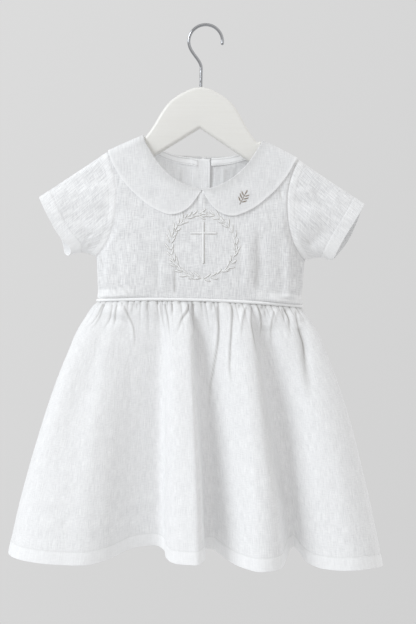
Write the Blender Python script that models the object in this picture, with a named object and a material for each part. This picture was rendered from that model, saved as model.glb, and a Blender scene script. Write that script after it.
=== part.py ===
"""Christening gown on a painted hanger, every piece of cloth a closed wall at its real size.

The script removes the scene's objects and models the gown that hangs from its hanger's hook:
a short-sleeved bodice with a Peter Pan collar, a piped waist and a gathered skirt whose hem
falls in deep folds. Sizes are millimetres, and every mesh is made in metres.

Axes: +X to the right of the front view, +Y to the back, +Z up. The origin is the top of the
hook's inside, where a rail carries it.

The bodice is one height field: half its depth is a product of four factors (how far down, how
far out, how near the side seam, how near the shoulder ridge), and each panel is a patch of it.
The skirt is a ring of two curves, the waist and the hem, joined down their height, with the
gathers as a cosine whose height fades downwards.
"""

import math

import bmesh
import bpy
import numpy as np

MM = 0.001

# ---- cloth and seams ----
WALL = 1.2  # thickness of a wall of cloth
SEAM = 0.3  # gap between two pieces that are sewn together
LAYER = WALL + SEAM  # from the middle of one layer to the middle of the next

# ---- hook and hanger ----
HOOK_WIRE = 3.4  # diameter
HOOK_RADIUS = 18.5  # to the middle of the wire
HOOK_ARC = (-6.0, 196.0)  # degrees, from the tip over the crown to where the S begins
HOOK_PULL = (30.0, 28.0)  # how far the S goes on in the arc's and in the stem's direction
HOOK_STEM_TOP = -47.0
HOOK_STEM_END = -88.0
HOLE_OVER = 12.0  # the tool that cuts the hook's hole reaches this far over the hanger
HANGER_X = -4.2  # the stem is to the left of the hook's crown
HANGER_THICKNESS = 10.0
HANGER_EDGE = 4.2  # rounding of its edges
HANGER_REACH = 95.5  # from its middle to where the arm's end begins to round
HANGER_TIP = (7.0, 8.0)  # length and half height of the arm's round end
HANGER_TIP_ARC = (45.0, -75.0)  # degrees of it that are cut
HANGER_ARM_AT = (72.0, 84.0)  # further points of the top edge, up to the reach
HANGER_UNDER_AT = (82.0, 66.0, 44.0, 22.0, 0.0)  # points of the lower edge
HANGER_REST = 0.3  # play between its top edge and the cloth, besides the seam's gap

# Columns: distance from the hanger's middle, height of its top edge, height of its lower edge.
# Past the last row the top edge follows the cloth's shoulder ridge.
HANGER_ROWS = (
    (0.0, -67.2, -112.6),
    (9.0, -69.0, -118.4),
    (17.0, -72.6, -123.6),
    (28.0, -79.2, -130.7),
    (36.5, -87.0, -136.2),
    (44.0, -98.0, -141.0),
    (51.0, -110.4, -145.5),
    (58.5, -121.4, -150.2),
    (64.0, -127.0, -153.6),
)

# ---- shoulders and bodice ----
CLOTH_X = -0.6  # the gown's middle: it has slid a little along the hanger
NECK_HALF = 66.5
NECK_FRONT_Z = -182.5
NECK_BACK_Z = -143.5
NECK_SHAPE = 1.55  # exponent of the front neck: 1 is a straight V, 2 an ellipse
NECK_BACK_SHAPE = 2.6
RIDGE_Z = -124.8  # shoulder ridge at the neck, from the hanger's middle
SHOULDER_SLOPE = 0.458
SLEEVE_SLOPE = 0.67
ARM_END = 106.0  # where the shoulder's slope turns into the sleeve's
ARM_END_SOFT = 5.0
CAP_ROUND = 7.5  # rounding of the cloth over the hanger's arm
SHOULDER_DEPTH = 7.5
WAIST_DEPTH = 30.0
BODICE_TOP = -124.0
SIDE_ROUND = 66.0  # how far in from the side seam the body's section bends
SIDE_THINNING = 0.30
CHEST_HALF = 114.6
WAIST_HALF = 111.6
UNDERARM_Z = -256.0
WAIST_Z = -301.5
WAIST_SAG = 3.6
WAIST_TILT = 1.0
PIPING = 3.3  # diameter
PIPING_PROUD = 0.5  # its middle stands out from the cloth's by this much

# Columns: distance from the gown's middle, height. From the shoulder to the underarm.
ARMHOLE_ROWS = (
    (97.5, -163.5),
    (93.4, -183.0),
    (93.3, -203.0),
    (95.8, -221.5),
    (101.2, -238.0),
    (109.0, -250.6),
)
ARMHOLE_TOP = 104.8

# ---- sleeves ----
CUFF_TOP = (178.8, -192.3)
CUFF_FOOT = (145.0, -255.0)
CUFF_DEPTH = 12.5
CUFF_SHAPE = 0.85  # exponent of its section: 1 is a lens, less is fuller
SLEEVE_LIFT = 3.6  # the underside arches between the underarm and the cuff
SLEEVE_LIFT_FROM = 0.72  # share of the way round where that begins
SLEEVE_START = 0.008  # share of the sleeve left open at the armhole's seam
SLEEVE_HOLD = 0.25  # over this share its wall turns from the bodice's direction to its own

# ---- back opening ----
BUTTON_STAND = (-11.0, 8.4)  # from the gown's middle: the lapped strip at the centre back
LAP_RAMP = (9.6, 14.6)  # the upper panel comes down past the stand's edge, between these
BUTTON_ROWS = (-197.0, -225.0, -253.0, -281.0)
BUTTON_RADIUS = 5.5
BUTTON_HEIGHT = 2.2
NECK_BAND = 8.0  # depth of the binding inside the back neck
NECK_BAND_REACH = 56.0  # how far out from the middle it goes
NECK_BAND_ENDS = (-11.6, 9.6)  # where its halves end beside the button stand
STAND_DROP = 1.5  # the stand's inner layer ends this far below the neck

# ---- collar ----
# One row for each section across the collar, from the centre front to the shoulder.
# Columns: neck x, neck z, edge x, edge z.
COLLAR_FRONT = (
    (1.0, -182.6, 1.4, -185.0),
    (5.0, -182.2, 6.6, -193.2),
    (10.0, -181.0, 13.2, -201.6),
    (16.0, -179.0, 22.2, -207.8),
    (23.0, -175.8, 33.0, -210.2),
    (31.0, -171.0, 45.0, -206.9),
    (39.0, -164.6, 58.0, -199.9),
    (47.0, -156.2, 71.0, -189.2),
    (54.0, -147.0, 83.2, -176.8),
    (60.0, -137.2, 93.0, -163.2),
    (64.4, -129.4, 99.6, -151.0),
)
# From the shoulder to the centre back, the same columns.
COLLAR_BACK = (
    (64.6, -128.0, 100.6, -151.0),
    (60.0, -133.0, 92.0, -164.0),
    (50.0, -137.6, 76.0, -175.6),
    (37.0, -141.0, 56.0, -182.6),
    (22.0, -143.0, 34.0, -186.0),
    (9.0, -143.8, 13.0, -187.0),
    (4.0, -143.9, 4.6, -185.4),
    (1.4, -143.9, 1.4, -180.0),
)
COLLAR_LAP_RAMP = (15.0, 26.0)  # at the back it steps up onto the lapped panels
COLLAR_SHOULDER = (66.0, 103.6)  # where it crosses the shoulder ridge: neck, edge
COLLAR_GAP = 0.5  # between it and the bodice, where it lies flat
COLLAR_FOLD = 6.0  # the seam's gap closes over this length at the ridge
COLLAR_LIFT = 1.2  # its edge stands off the bodice by this much more than its neck

# ---- skirt ----
GATHERS = 29  # on the front, and again on the back
GATHER_HEIGHT = 1.55
GATHER_UNEVEN = 0.35
GATHER_LENGTHS = (34.0, 92.0)  # the shortest and the longest
SKIRT_LENGTH = 277.0
LEVEL_EDGE = 0.04  # share of the skirt's length over which its top edge turns level

# Columns: share of the way down the skirt, share of the way from the waist out to the hem.
SPREAD_ROWS = (
    (0.0, 0.0),
    (0.043, 0.10),
    (0.094, 0.204),
    (0.195, 0.335),
    (0.303, 0.447),
    (0.412, 0.552),
    (0.556, 0.675),
    (0.70, 0.792),
    (0.845, 0.895),
    (1.0, 1.0),
)

# One row for each turn of the hem, seen from above, from the left side seam across the front.
# Columns: what it is, x, y, height of the hem there.
HEM_FRONT = (
    ("left side seam", -205.0, 0.0, -580.5),
    ("left lobe, outer", -178.0, -43.0, -581.5),
    ("left lobe, inner", -113.0, -60.0, -581.5),
    ("left valley, outer", -76.0, -17.0, -573.0),
    ("left valley, inner", -45.0, -12.0, -571.5),
    ("centre lobe, left", -26.0, -66.0, -573.5),
    ("centre lobe, right", 3.0, -78.0, -575.0),
    ("centre valley", 16.0, -20.0, -572.5),
    ("right lobe, left", 42.0, -68.0, -576.0),
    ("right lobe, right", 86.0, -75.0, -579.0),
    ("right valley", 102.0, -18.0, -573.5),
    ("far lobe, left", 128.0, -55.0, -577.5),
    ("far lobe, right", 176.0, -51.0, -582.0),
)
# From the right side seam across the back, the same columns.
HEM_BACK = (
    ("right side seam", 204.5, 0.0, -586.0),
    ("back lobe 1, outer", 174.0, 49.0, -582.0),
    ("back lobe 1, inner", 128.0, 61.0, -579.5),
    ("back valley 1", 104.0, 19.0, -573.5),
    ("back lobe 2, right", 82.0, 68.0, -577.0),
    ("back lobe 2, left", 46.0, 76.0, -576.5),
    ("back valley 2, right", 28.0, 22.0, -572.0),
    ("back valley 2, left", 6.0, 15.0, -571.5),
    ("back lobe 3, right", -13.0, 66.0, -574.5),
    ("back lobe 3, left", -46.0, 75.0, -575.5),
    ("back valley 3", -62.0, 20.0, -572.0),
    ("back lobe 4, right", -90.0, 64.0, -577.0),
    ("back lobe 4, left", -124.0, 60.0, -578.5),
    ("back valley 4", -143.0, 24.0, -575.5),
    ("back lobe 5", -172.0, 45.0, -579.5),
)

# ---- how finely each surface is cut ----
SHOULDER_COLUMNS = 4
NECK_SHARES = (0.0, 0.15, 0.30, 0.43, 0.55, 0.67, 0.78, 0.869, 0.921, 0.97, 1.0)
BACK_NECK_COLUMNS = 7
BACK_NECK_CORNER = (6.5, 3.2, 0.9, 0.0)  # columns of the back neck this far from the shoulder
ARMHOLE_SHARES = (0.0, 0.034, 0.068, 0.102, 0.18, 0.29, 0.41, 0.53, 0.65, 0.76, 0.86, 0.94, 1.0)
SIDE_ROWS = 3
SIDE_CROWD = 0.07  # how far the columns crowd towards the side seams
ARMHOLE_PART = 0.72  # share of the bodice's rows that lie above the underarm
SLEEVE_ROWS = 5
COLLAR_COLUMNS = 38
COLLAR_BEND = 17.0  # near the shoulder ridge its columns are crowded
COLLAR_CROWD = 4.0
COLLAR_ROWS = 3
PIPING_POINTS = 36  # from side seam to side seam
GATHER_COLUMNS = 4  # columns for each gather in the top zone, half as many below it
GATHER_ZONE = (0.0, 0.026, 0.066, 0.124, 0.20)
FALL_ZONE = (0.20, 0.29, 0.39, 0.50, 0.61, 0.72, 0.83, 0.93, 1.0)


# ---------------------------------------------------------------- small helpers


def smoothstep(value, low, high):
    """0 below low, 1 above high, and a soft S between them."""
    share = np.clip((value - low) / (high - low), 0.0, 1.0)
    return share * share * (3.0 - 2.0 * share)


def spline(stations, values, at):
    """A smooth curve through values at rising stations: cubics with the neighbours' slopes."""
    stations = np.asarray(stations, float)
    values = np.asarray(values, float)
    at = np.asarray(at, float)
    slopes = np.gradient(values, stations, axis=0)
    left = np.clip(np.searchsorted(stations, at, side="right") - 1, 0, len(stations) - 2)
    span = stations[left + 1] - stations[left]
    share = (at - stations[left]) / span
    if values.ndim > 1:
        span, share = span[..., None], share[..., None]
    square, cube = share**2, share**3
    return (
        (2 * cube - 3 * square + 1) * values[left]
        + (cube - 2 * square + share) * span * slopes[left]
        + (3 * square - 2 * cube) * values[left + 1]
        + (cube - square) * span * slopes[left + 1]
    )


def lengths_along(points):
    """Length along a line of points up to each of them."""
    steps = np.linalg.norm(np.diff(points, axis=0), axis=1)
    return np.concatenate(([0.0], np.cumsum(steps)))


def unit(vectors):
    """The vectors at length 1."""
    return vectors / np.linalg.norm(vectors, axis=-1, keepdims=True)


def grid_faces(rows, columns, wrapped=False):
    """Faces of a grid of points, row after row, closed across its columns if wrapped."""
    across = columns if wrapped else columns - 1
    return [
        (
            row * columns + column,
            (row + 1) * columns + column,
            (row + 1) * columns + (column + 1) % columns,
            row * columns + (column + 1) % columns,
        )
        for row in range(rows - 1)
        for column in range(across)
    ]


def coons(top, bottom, left, right, across, down):
    """A patch between four edges: the two ruled surfaces, less the one through the corners."""
    a, b = across[None, :, None], down[:, None, None]
    ruled_down = (1 - b) * top[None] + b * bottom[None]
    ruled_across = (1 - a) * left[:, None] + a * right[:, None]
    corners = (1 - a) * (1 - b) * top[0] + a * (1 - b) * top[-1]
    corners = corners + (1 - a) * b * bottom[0] + a * b * bottom[-1]
    return ruled_down + ruled_across - corners


# ---------------------------------------------------------------- the bodice's form


def ridge(x):
    """Height of the shoulder ridge: one slope over the hanger's arm, a steeper one past it."""
    out = np.hypot(x - HANGER_X, 1.0)
    past = ARM_END_SOFT * np.log1p(np.exp((out - ARM_END) / ARM_END_SOFT))
    return RIDGE_Z - SHOULDER_SLOPE * (out - NECK_HALF) - (SLEEVE_SLOPE - SHOULDER_SLOPE) * past


def rim(share):
    """A quarter circle: 0 at an edge, upright there, and 1 from a share of 1 inwards."""
    return np.sqrt(1.0 - (1.0 - np.clip(share, 0.0, 1.0)) ** 2)


def side_half(z):
    """Half the bodice's width at a height, from the underarm to the waist."""
    share = np.clip((UNDERARM_Z - z) / (UNDERARM_Z - WAIST_Z), 0.0, 1.0)
    return CHEST_HALF + (WAIST_HALF - CHEST_HALF) * share


def inside_edge(x, z):
    """Distance in from the side seam, or from the underarm's corner above it."""
    inwards = side_half(np.minimum(z, UNDERARM_Z)) - np.abs(x - CLOTH_X)
    upwards = z - UNDERARM_Z
    corner = np.hypot(np.maximum(inwards, 0.0), np.maximum(upwards, 0.0))
    return np.where(upwards > 0, corner, inwards)


def half_depth(x, z):
    """Half the bodice's depth, 0 along the side seams and the shoulder ridge."""
    fall = np.clip((BODICE_TOP - z) / (BODICE_TOP - WAIST_Z), 0.0, 1.0)
    centre = SHOULDER_DEPTH + (WAIST_DEPTH - SHOULDER_DEPTH) * (1.0 - (1.0 - fall) ** 2)
    thinning = 1.0 - SIDE_THINNING * ((x - CLOTH_X) / CHEST_HALF) ** 2
    side = rim(inside_edge(x, z) / SIDE_ROUND)
    cap = rim((ridge(x) - z) / CAP_ROUND)
    return centre * thinning * side * cap


def drop_of(q):
    """How far below the shoulder ridge the cloth is, q along it: an arc, then straight down."""
    bend = CAP_ROUND * math.pi / 2
    return np.where(
        q < bend, CAP_ROUND * (1 - np.cos(np.minimum(q, bend) / CAP_ROUND)), q - bend + CAP_ROUND
    )


def along_of(x, z):
    """The other way round: the length along the cloth from the ridge to a height."""
    drop = np.maximum(ridge(x) - z, 0.0)
    bend = CAP_ROUND * np.arccos(1 - np.minimum(drop, CAP_ROUND) / CAP_ROUND)
    return bend + np.maximum(drop - CAP_ROUND, 0.0)


def cloth(x, q, side, offset=0.0):
    """A point of the bodice and its outward normal: side -1 is the front, 1 the back."""
    z = ridge(x) - drop_of(q)
    y = side * (half_depth(x, z) + SEAM / 2)
    clear, step = 0.02, 0.005
    at_edge = inside_edge(x, z) < clear
    inner_x = np.where(at_edge, x - clear * np.sign(x - CLOTH_X), x)
    inner_z = np.where(at_edge & (z > UNDERARM_Z - clear), z + clear, z)
    inner_z = np.minimum(inner_z, ridge(x) - clear)
    slope_x = half_depth(inner_x + step, inner_z) - half_depth(inner_x - step, inner_z)
    slope_z = half_depth(inner_x, inner_z + step) - half_depth(inner_x, inner_z - step)
    slope_x, slope_z = slope_x / (2 * step), slope_z / (2 * step)
    normal = unit(np.stack([-slope_x, side * np.ones_like(slope_x), -slope_z], axis=-1))
    offset = np.broadcast_to(np.asarray(offset, float), x.shape)
    return np.stack([x, y, z], axis=-1) + normal * offset[..., None], normal


def waist_z(x):
    """Height of the waist seam: it sags to the sides and tilts a little."""
    out = (x - CLOTH_X) / WAIST_HALF
    return WAIST_Z - WAIST_SAG * out**2 - WAIST_TILT * out


def waist_x(share):
    """x along the waist seam, share 0 to 1 of its length from the left side seam."""
    bend = np.linspace(-math.pi / 2, math.pi / 2, 721)
    x = CLOTH_X + WAIST_HALF * np.sin(bend)
    line = np.stack([x, half_depth(x, waist_z(x))], axis=-1)
    along = lengths_along(line)
    return np.interp(np.asarray(share) * along[-1], along, x)


# ---------------------------------------------------------------- meshes and materials


def material(name, colour, roughness, metallic=0.0):
    """A Principled material of one colour."""
    made = bpy.data.materials.new(name)
    made.use_nodes = True
    shader = made.node_tree.nodes["Principled BSDF"]
    shader.inputs["Base Color"].default_value = (*colour, 1.0)
    shader.inputs["Roughness"].default_value = roughness
    shader.inputs["Metallic"].default_value = metallic
    made.diffuse_color = (*colour, 1.0)
    return made


def add_object(name, points, faces, finish):
    """An object from points in millimetres, shaded smooth up to its sharp edges."""
    mesh = bpy.data.meshes.new(name)
    mesh.from_pydata([tuple(p) for p in np.asarray(points) * MM], [], faces)
    mesh.materials.append(finish)
    mesh.shade_smooth()
    mesh.set_sharp_from_angle(angle=math.radians(50))
    made = bpy.data.objects.new(name, mesh)
    bpy.context.collection.objects.link(made)
    return made


def add_wall(name, points, normals, faces, finish, thickness=WALL):
    """A closed wall on a sheet: its two skins, and a band of faces round each open edge."""
    points, normals = points.reshape(-1, 3), normals.reshape(-1, 3)
    count = len(points)
    skins = np.concatenate([points + normals * thickness / 2, points - normals * thickness / 2])
    edges = {(f[k], f[(k + 1) % len(f)]) for f in faces for k in range(len(f))}
    rims = [(j, i, i + count, j + count) for i, j in edges if (j, i) not in edges]
    inner = [tuple(corner + count for corner in reversed(face)) for face in faces]
    return add_object(name, skins, list(faces) + inner + sorted(rims), finish)


def add_rod(name, points, diameter, finish, resolution=2):
    """A round rod along a line of points, as a curve with a bevel and closed ends."""
    curve = bpy.data.curves.new(name, "CURVE")
    curve.dimensions = "3D"
    curve.bevel_depth = diameter / 2 * MM
    curve.bevel_resolution = resolution
    curve.use_fill_caps = True
    run = curve.splines.new("POLY")
    run.points.add(len(points) - 1)
    for spot, place in zip(run.points, points):
        spot.co = (*(place * MM), 1.0)
    curve.materials.append(finish)
    made = bpy.data.objects.new(name, curve)
    bpy.context.collection.objects.link(made)
    return made


def facing(points, outward, faces):
    """The faces, turned over if the sheet's first ones look against its outward normals."""
    flat = points.reshape(-1, 3)
    corners = flat[np.array([face[:3] for face in faces])]
    turned = np.cross(corners[:, 1] - corners[:, 0], corners[:, 2] - corners[:, 0])
    agree = np.sum(turned * outward.reshape(-1, 3)[[face[0] for face in faces]])
    return faces if agree > 0 else [tuple(reversed(face)) for face in faces]


def add_sheet(name, points, normals, finish, thickness=WALL, wrapped=False):
    """A wall on a grid of points and outward normals."""
    rows, columns = points.shape[:2]
    faces = facing(points, normals, grid_faces(rows, columns, wrapped))
    return add_wall(name, points, normals, faces, finish, thickness)


# ---------------------------------------------------------------- hanger and hook


def build_hook(steel):
    """The hook: an arc over the crown, a soft S down to the stem, and the stem."""
    centre_z = HOOK_WIRE / 2 - HOOK_RADIUS
    turn = np.radians(np.linspace(*HOOK_ARC, 22))
    arc = np.stack([HOOK_RADIUS * np.cos(turn), 0 * turn, centre_z + HOOK_RADIUS * np.sin(turn)], 1)
    share = np.linspace(0.0, 1.0, 10)[1:, None]
    start, end = arc[-1], np.array([HANGER_X, 0.0, HOOK_STEM_TOP])
    leave = np.array([-math.sin(turn[-1]), 0.0, math.cos(turn[-1])]) * HOOK_PULL[0]
    arrive = np.array([0.0, 0.0, -HOOK_PULL[1]])
    square, cube = share**2, share**3
    bend = (
        (2 * cube - 3 * square + 1) * start
        + (cube - 2 * square + share) * leave
        + (3 * square - 2 * cube) * end
        + (cube - square) * arrive
    )
    stem = np.array([[HANGER_X, 0.0, HOOK_STEM_END]])
    return add_rod("hanger_hook", np.concatenate([arc, bend, stem]), HOOK_WIRE, steel)


def hanger_outline():
    """The hanger's outline from the front: the domed top, the arms and their round ends."""
    rows = np.array(HANGER_ROWS)
    arm = np.array([*HANGER_ARM_AT, HANGER_REACH])
    out = np.concatenate([rows[:, 0], arm])
    arm_top = ridge(HANGER_X + arm) - WALL / 2 - SEAM - HANGER_REST
    upper = np.concatenate([rows[:, 1], arm_top])
    end = upper[-1] - HANGER_TIP[1]
    turn = np.radians(np.linspace(*HANGER_TIP_ARC, 6))
    tip = [HANGER_REACH, end] + np.array(HANGER_TIP) * np.stack([np.cos(turn), np.sin(turn)], 1)
    under_out = np.array([HANGER_REACH, *HANGER_UNDER_AT])
    stations = np.concatenate([rows[:, 0], [HANGER_REACH]])
    lower = np.concatenate([rows[:, 2], [end - HANGER_TIP[1]]])
    under = np.stack([under_out, spline(stations, lower, under_out)], 1)
    right = np.concatenate([np.stack([out, upper], 1), tip, under])
    left = right[1:-1][::-1] * np.array([-1.0, 1.0])
    return np.concatenate([right, left])


def build_hanger(paint):
    """The flat hanger: its outline given its thickness, rounded edges and the hook's hole."""
    outline = hanger_outline()
    mesh = bpy.data.meshes.new("hanger_body")
    shape = bmesh.new()
    half = HANGER_THICKNESS / 2
    corners = [
        shape.verts.new((float(x + HANGER_X) * MM, -half * MM, float(z) * MM)) for x, z in outline
    ]
    face = shape.faces.new(corners)
    pushed = bmesh.ops.extrude_face_region(shape, geom=[face])
    moved = [part for part in pushed["geom"] if isinstance(part, bmesh.types.BMVert)]
    bmesh.ops.translate(shape, verts=moved, vec=(0, HANGER_THICKNESS * MM, 0))
    bmesh.ops.recalc_face_normals(shape, faces=shape.faces)
    shape.to_mesh(mesh)
    shape.free()
    mesh.materials.append(paint)
    body = bpy.data.objects.new("hanger_body", mesh)
    bpy.context.collection.objects.link(body)

    bevel = body.modifiers.new("rounded edges", "BEVEL")
    bevel.width = HANGER_EDGE * MM
    bevel.segments = 3
    bevel.limit_method = "ANGLE"
    bevel.angle_limit = math.radians(60)

    hole = bpy.data.meshes.new("hook_hole")
    drill = bmesh.new()
    depth = abs(HOOK_STEM_END - HANGER_ROWS[0][1]) + HOLE_OVER
    radius = (HOOK_WIRE / 2 + SEAM) / math.cos(math.pi / 12) * MM
    bmesh.ops.create_cone(
        drill, cap_ends=True, segments=12, radius1=radius, radius2=radius, depth=depth * MM
    )
    drill.to_mesh(hole)
    drill.free()
    cutter = bpy.data.objects.new("hook_hole", hole)
    cutter.location = (HANGER_X * MM, 0, (HOOK_STEM_END - SEAM + depth / 2) * MM)
    cutter.hide_render = True
    cutter.display_type = "WIRE"
    bpy.context.collection.objects.link(cutter)
    cut = body.modifiers.new("hole for the hook", "BOOLEAN")
    cut.operation = "DIFFERENCE"
    cut.object = cutter


# ---------------------------------------------------------------- bodice, sleeves, collar


def armhole_line(side_x, share):
    """x and z down the armhole, share 0 to 1 of its length from the shoulder ridge."""
    top_x = CLOTH_X + side_x * ARMHOLE_TOP
    rows = [(side_x * out + CLOTH_X, z) for out, z in ARMHOLE_ROWS]
    foot = (CLOTH_X + side_x * CHEST_HALF, UNDERARM_Z)
    corners = np.array([(top_x, float(ridge(top_x)))] + rows + [foot])
    line = spline(np.arange(len(corners)), corners, np.linspace(0, len(corners) - 1, 600))
    along = lengths_along(np.stack([line[:, 0], along_of(line[:, 0], line[:, 1])], axis=-1))
    at = np.asarray(share) * along[-1]
    return np.stack([np.interp(at, along, line[:, k]) for k in range(2)], axis=-1)


def bodice_side(side_x, down):
    """The panel's outer edge in x and q: the armhole, then the side seam to the waist."""
    waist_at = CLOTH_X + side_x * WAIST_HALF
    foot = float(waist_z(waist_at)) + PIPING / 2 + SEAM
    upper = armhole_line(side_x, np.clip(down / ARMHOLE_PART, 0, 1))
    below = np.clip((down - ARMHOLE_PART) / (1 - ARMHOLE_PART), 0, 1)
    z = UNDERARM_Z + (foot - UNDERARM_Z) * below
    x = np.where(below > 0, CLOTH_X + side_x * side_half(z), upper[:, 0])
    z = np.where(below > 0, z, upper[:, 1])
    return np.stack([x, along_of(x, z)], axis=-1)


def bodice_rows():
    """The rows of every bodice panel: those of the armhole, then those of the side seam."""
    side = np.linspace(ARMHOLE_PART, 1, SIDE_ROWS + 1)[1:]
    return np.concatenate([ARMHOLE_PART * np.array(ARMHOLE_SHARES), side])


def front_neck(share):
    """x and z round the front neck, a superellipse: share -1 at its left end, 1 at its right."""
    turn = (1 - np.abs(share)) * math.pi / 2
    out = NECK_HALF * np.cos(turn) ** (2 / NECK_SHAPE)
    x = CLOTH_X + np.sign(share) * out
    top = ridge(CLOTH_X + np.sign(share) * NECK_HALF)
    top = np.where(share == 0, NECK_FRONT_Z, top)
    return x, top + (NECK_FRONT_Z - top) * np.sin(turn) ** (2 / NECK_SHAPE)


def back_neck(out, side_x):
    """Height of the back neck at a distance out from the gown's middle."""
    top = float(ridge(CLOTH_X + side_x * NECK_HALF))
    share = np.clip(out / NECK_HALF, 0, 1)
    return NECK_BACK_Z + (top - NECK_BACK_Z) * share**NECK_BACK_SHAPE


def waist_edge(share):
    """The panel's lower edge in x and q, just above the piping."""
    x = waist_x(share)
    return np.stack([x, along_of(x, waist_z(x) + PIPING / 2 + SEAM)], axis=-1)


def shoulder_edge(side_x, shares):
    """The panel's edge along the shoulder ridge, share 0 at the armhole and 1 at the neck."""
    x = CLOTH_X + side_x * (ARMHOLE_TOP + (NECK_HALF - ARMHOLE_TOP) * shares)
    return np.stack([x, np.zeros_like(x)], axis=-1)


def build_bodice_front(linen):
    """The front panel, cut on the fold: neck, shoulders, armholes, side seams and waist."""
    shoulder = np.linspace(0, 1, SHOULDER_COLUMNS + 1)[:-1]
    half = np.array(NECK_SHARES)
    neck_x, neck_z = front_neck(np.concatenate([-half[:0:-1], half]))
    neck = np.stack([neck_x, along_of(neck_x, neck_z)], axis=-1)
    right = shoulder_edge(1, shoulder)[::-1]
    top = np.concatenate([shoulder_edge(-1, shoulder), neck, right])
    across = np.linspace(0, 1, len(top))
    down = bodice_rows()
    bottom = waist_edge(across - SIDE_CROWD * np.sin(2 * math.pi * across))
    patch = coons(top, bottom, bodice_side(-1, down), bodice_side(1, down), across, down)
    points, normals = cloth(patch[..., 0], patch[..., 1], -1)
    add_sheet("bodice_front", points, normals, linen)


def build_bodice_back(name, side_x, strip, lap, linen):
    """One back panel, from its edge at the centre back to the side seam and the armhole.

    strip holds the upright columns by the centre back, from the panel's edge on. lap lifts the
    panel there onto the other one's button stand.
    """
    strip = CLOTH_X + np.array(strip)
    shoulder_x = CLOTH_X + side_x * NECK_HALF
    corner = shoulder_x - side_x * np.array(BACK_NECK_CORNER)
    run = np.linspace(strip[-1], corner[0], BACK_NECK_COLUMNS)[1:-1]
    neck_out = np.concatenate([strip, run, corner])
    neck_z = back_neck(np.abs(neck_out - CLOTH_X), side_x)
    neck = np.stack([neck_out, along_of(neck_out, neck_z)], axis=-1)
    shoulder = np.linspace(1, 0, SHOULDER_COLUMNS + 1)[1:]
    top = np.concatenate([neck, shoulder_edge(side_x, shoulder)])
    across = np.linspace(0, 1, len(top))
    down = bodice_rows()
    shares = np.linspace(0, 1, 400)
    strip_shares = np.interp(strip, waist_x(shares), shares)
    end = 1.0 if side_x > 0 else 0.0
    steps = np.linspace(0, 1, len(top) - len(strip) + 1)[1:]
    steps = steps + SIDE_CROWD * 2 * np.sin(math.pi * steps)
    outer = strip_shares[-1] + (end - strip_shares[-1]) * steps
    bottom = waist_edge(np.concatenate([strip_shares, outer]))
    centre = top[0] + (bottom[0] - top[0]) * down[:, None]
    across = smoothstep(across, 0.3, 1.0)
    patch = coons(top, bottom, centre, bodice_side(side_x, down), across, down)
    lift = lap * smoothstep(-patch[..., 0], -CLOTH_X - LAP_RAMP[1], -CLOTH_X - LAP_RAMP[0])
    points, normals = cloth(patch[..., 0], patch[..., 1], 1, lift)
    add_sheet(name, points, normals, linen)


def sleeve_surface(side_x, ring, out):
    """Points of a sleeve: ring runs 0 to 2 round it from the top, out 0 to 1 to the cuff.

    Each point goes in a straight line from the armhole to a flattened cuff, and the underside
    arches up between them.
    """
    front = ring <= 1
    share = np.where(front, ring, 2 - ring)
    side = np.where(front, -1.0, 1.0)
    line = armhole_line(side_x, share)
    start, outward = cloth(line[..., 0], along_of(line[..., 0], line[..., 1]), side)
    start[..., 1] -= side * SEAM / 2
    along_cuff = (1 - np.cos(math.pi * share)) / 2
    top = np.array([CLOTH_X + side_x * CUFF_TOP[0], 0.0, CUFF_TOP[1]])
    foot = np.array([CLOTH_X + side_x * CUFF_FOOT[0], 0.0, CUFF_FOOT[1]])
    cuff = top + (foot - top) * along_cuff[..., None]
    cuff[..., 1] = side * CUFF_DEPTH * np.sin(math.pi * share) ** CUFF_SHAPE
    points = start + (cuff - start) * out[..., None]
    arch = SLEEVE_LIFT * np.sin(math.pi * out) * smoothstep(share, SLEEVE_LIFT_FROM, 1.0)
    points[..., 2] += arch
    return points, outward


def build_sleeve(name, side_x, linen):
    """A short set-in sleeve: a tube from the armhole to the open cuff."""
    half = np.array(ARMHOLE_SHARES)
    ring = np.concatenate([half, 2 - half[-2:0:-1]])
    reach = np.linspace(0, 1, SLEEVE_ROWS + 1)
    reach[0] = SLEEVE_START
    ring_grid, out_grid = np.meshgrid(ring, reach)
    points, outward = sleeve_surface(side_x, ring_grid, out_grid)
    around = np.roll(points, -1, axis=1) - np.roll(points, 1, axis=1)
    along = np.gradient(points, axis=0)
    normals = unit(np.cross(around, along))
    flip = np.sign(np.sum(normals * outward, axis=(1, 2)))[:, None, None]
    normals = normals * flip
    hold = (1 - smoothstep(out_grid, 0.0, SLEEVE_HOLD))[..., None]
    add_sheet(name, points, unit(outward * hold + normals * (1 - hold)), linen, wrapped=True)


def collar_edges(side_x):
    """The collar's neck and outer edges as x and signed q, q below 0 on the back."""
    rows = []
    for sign, table in ((1, COLLAR_FRONT), (-1, COLLAR_BACK)):
        for neck_x, neck_z, edge_x, edge_z in table:
            section = []
            for out, z in ((neck_x, neck_z), (edge_x, edge_z)):
                x = CLOTH_X + side_x * out
                section += [x, sign * float(along_of(np.array(x), z))]
            rows.append(section)
        if sign > 0:
            neck, edge = (CLOTH_X + side_x * out for out in COLLAR_SHOULDER)
            rows.append([neck, 0.0, edge, 0.0])
    return np.array(rows)


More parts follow.
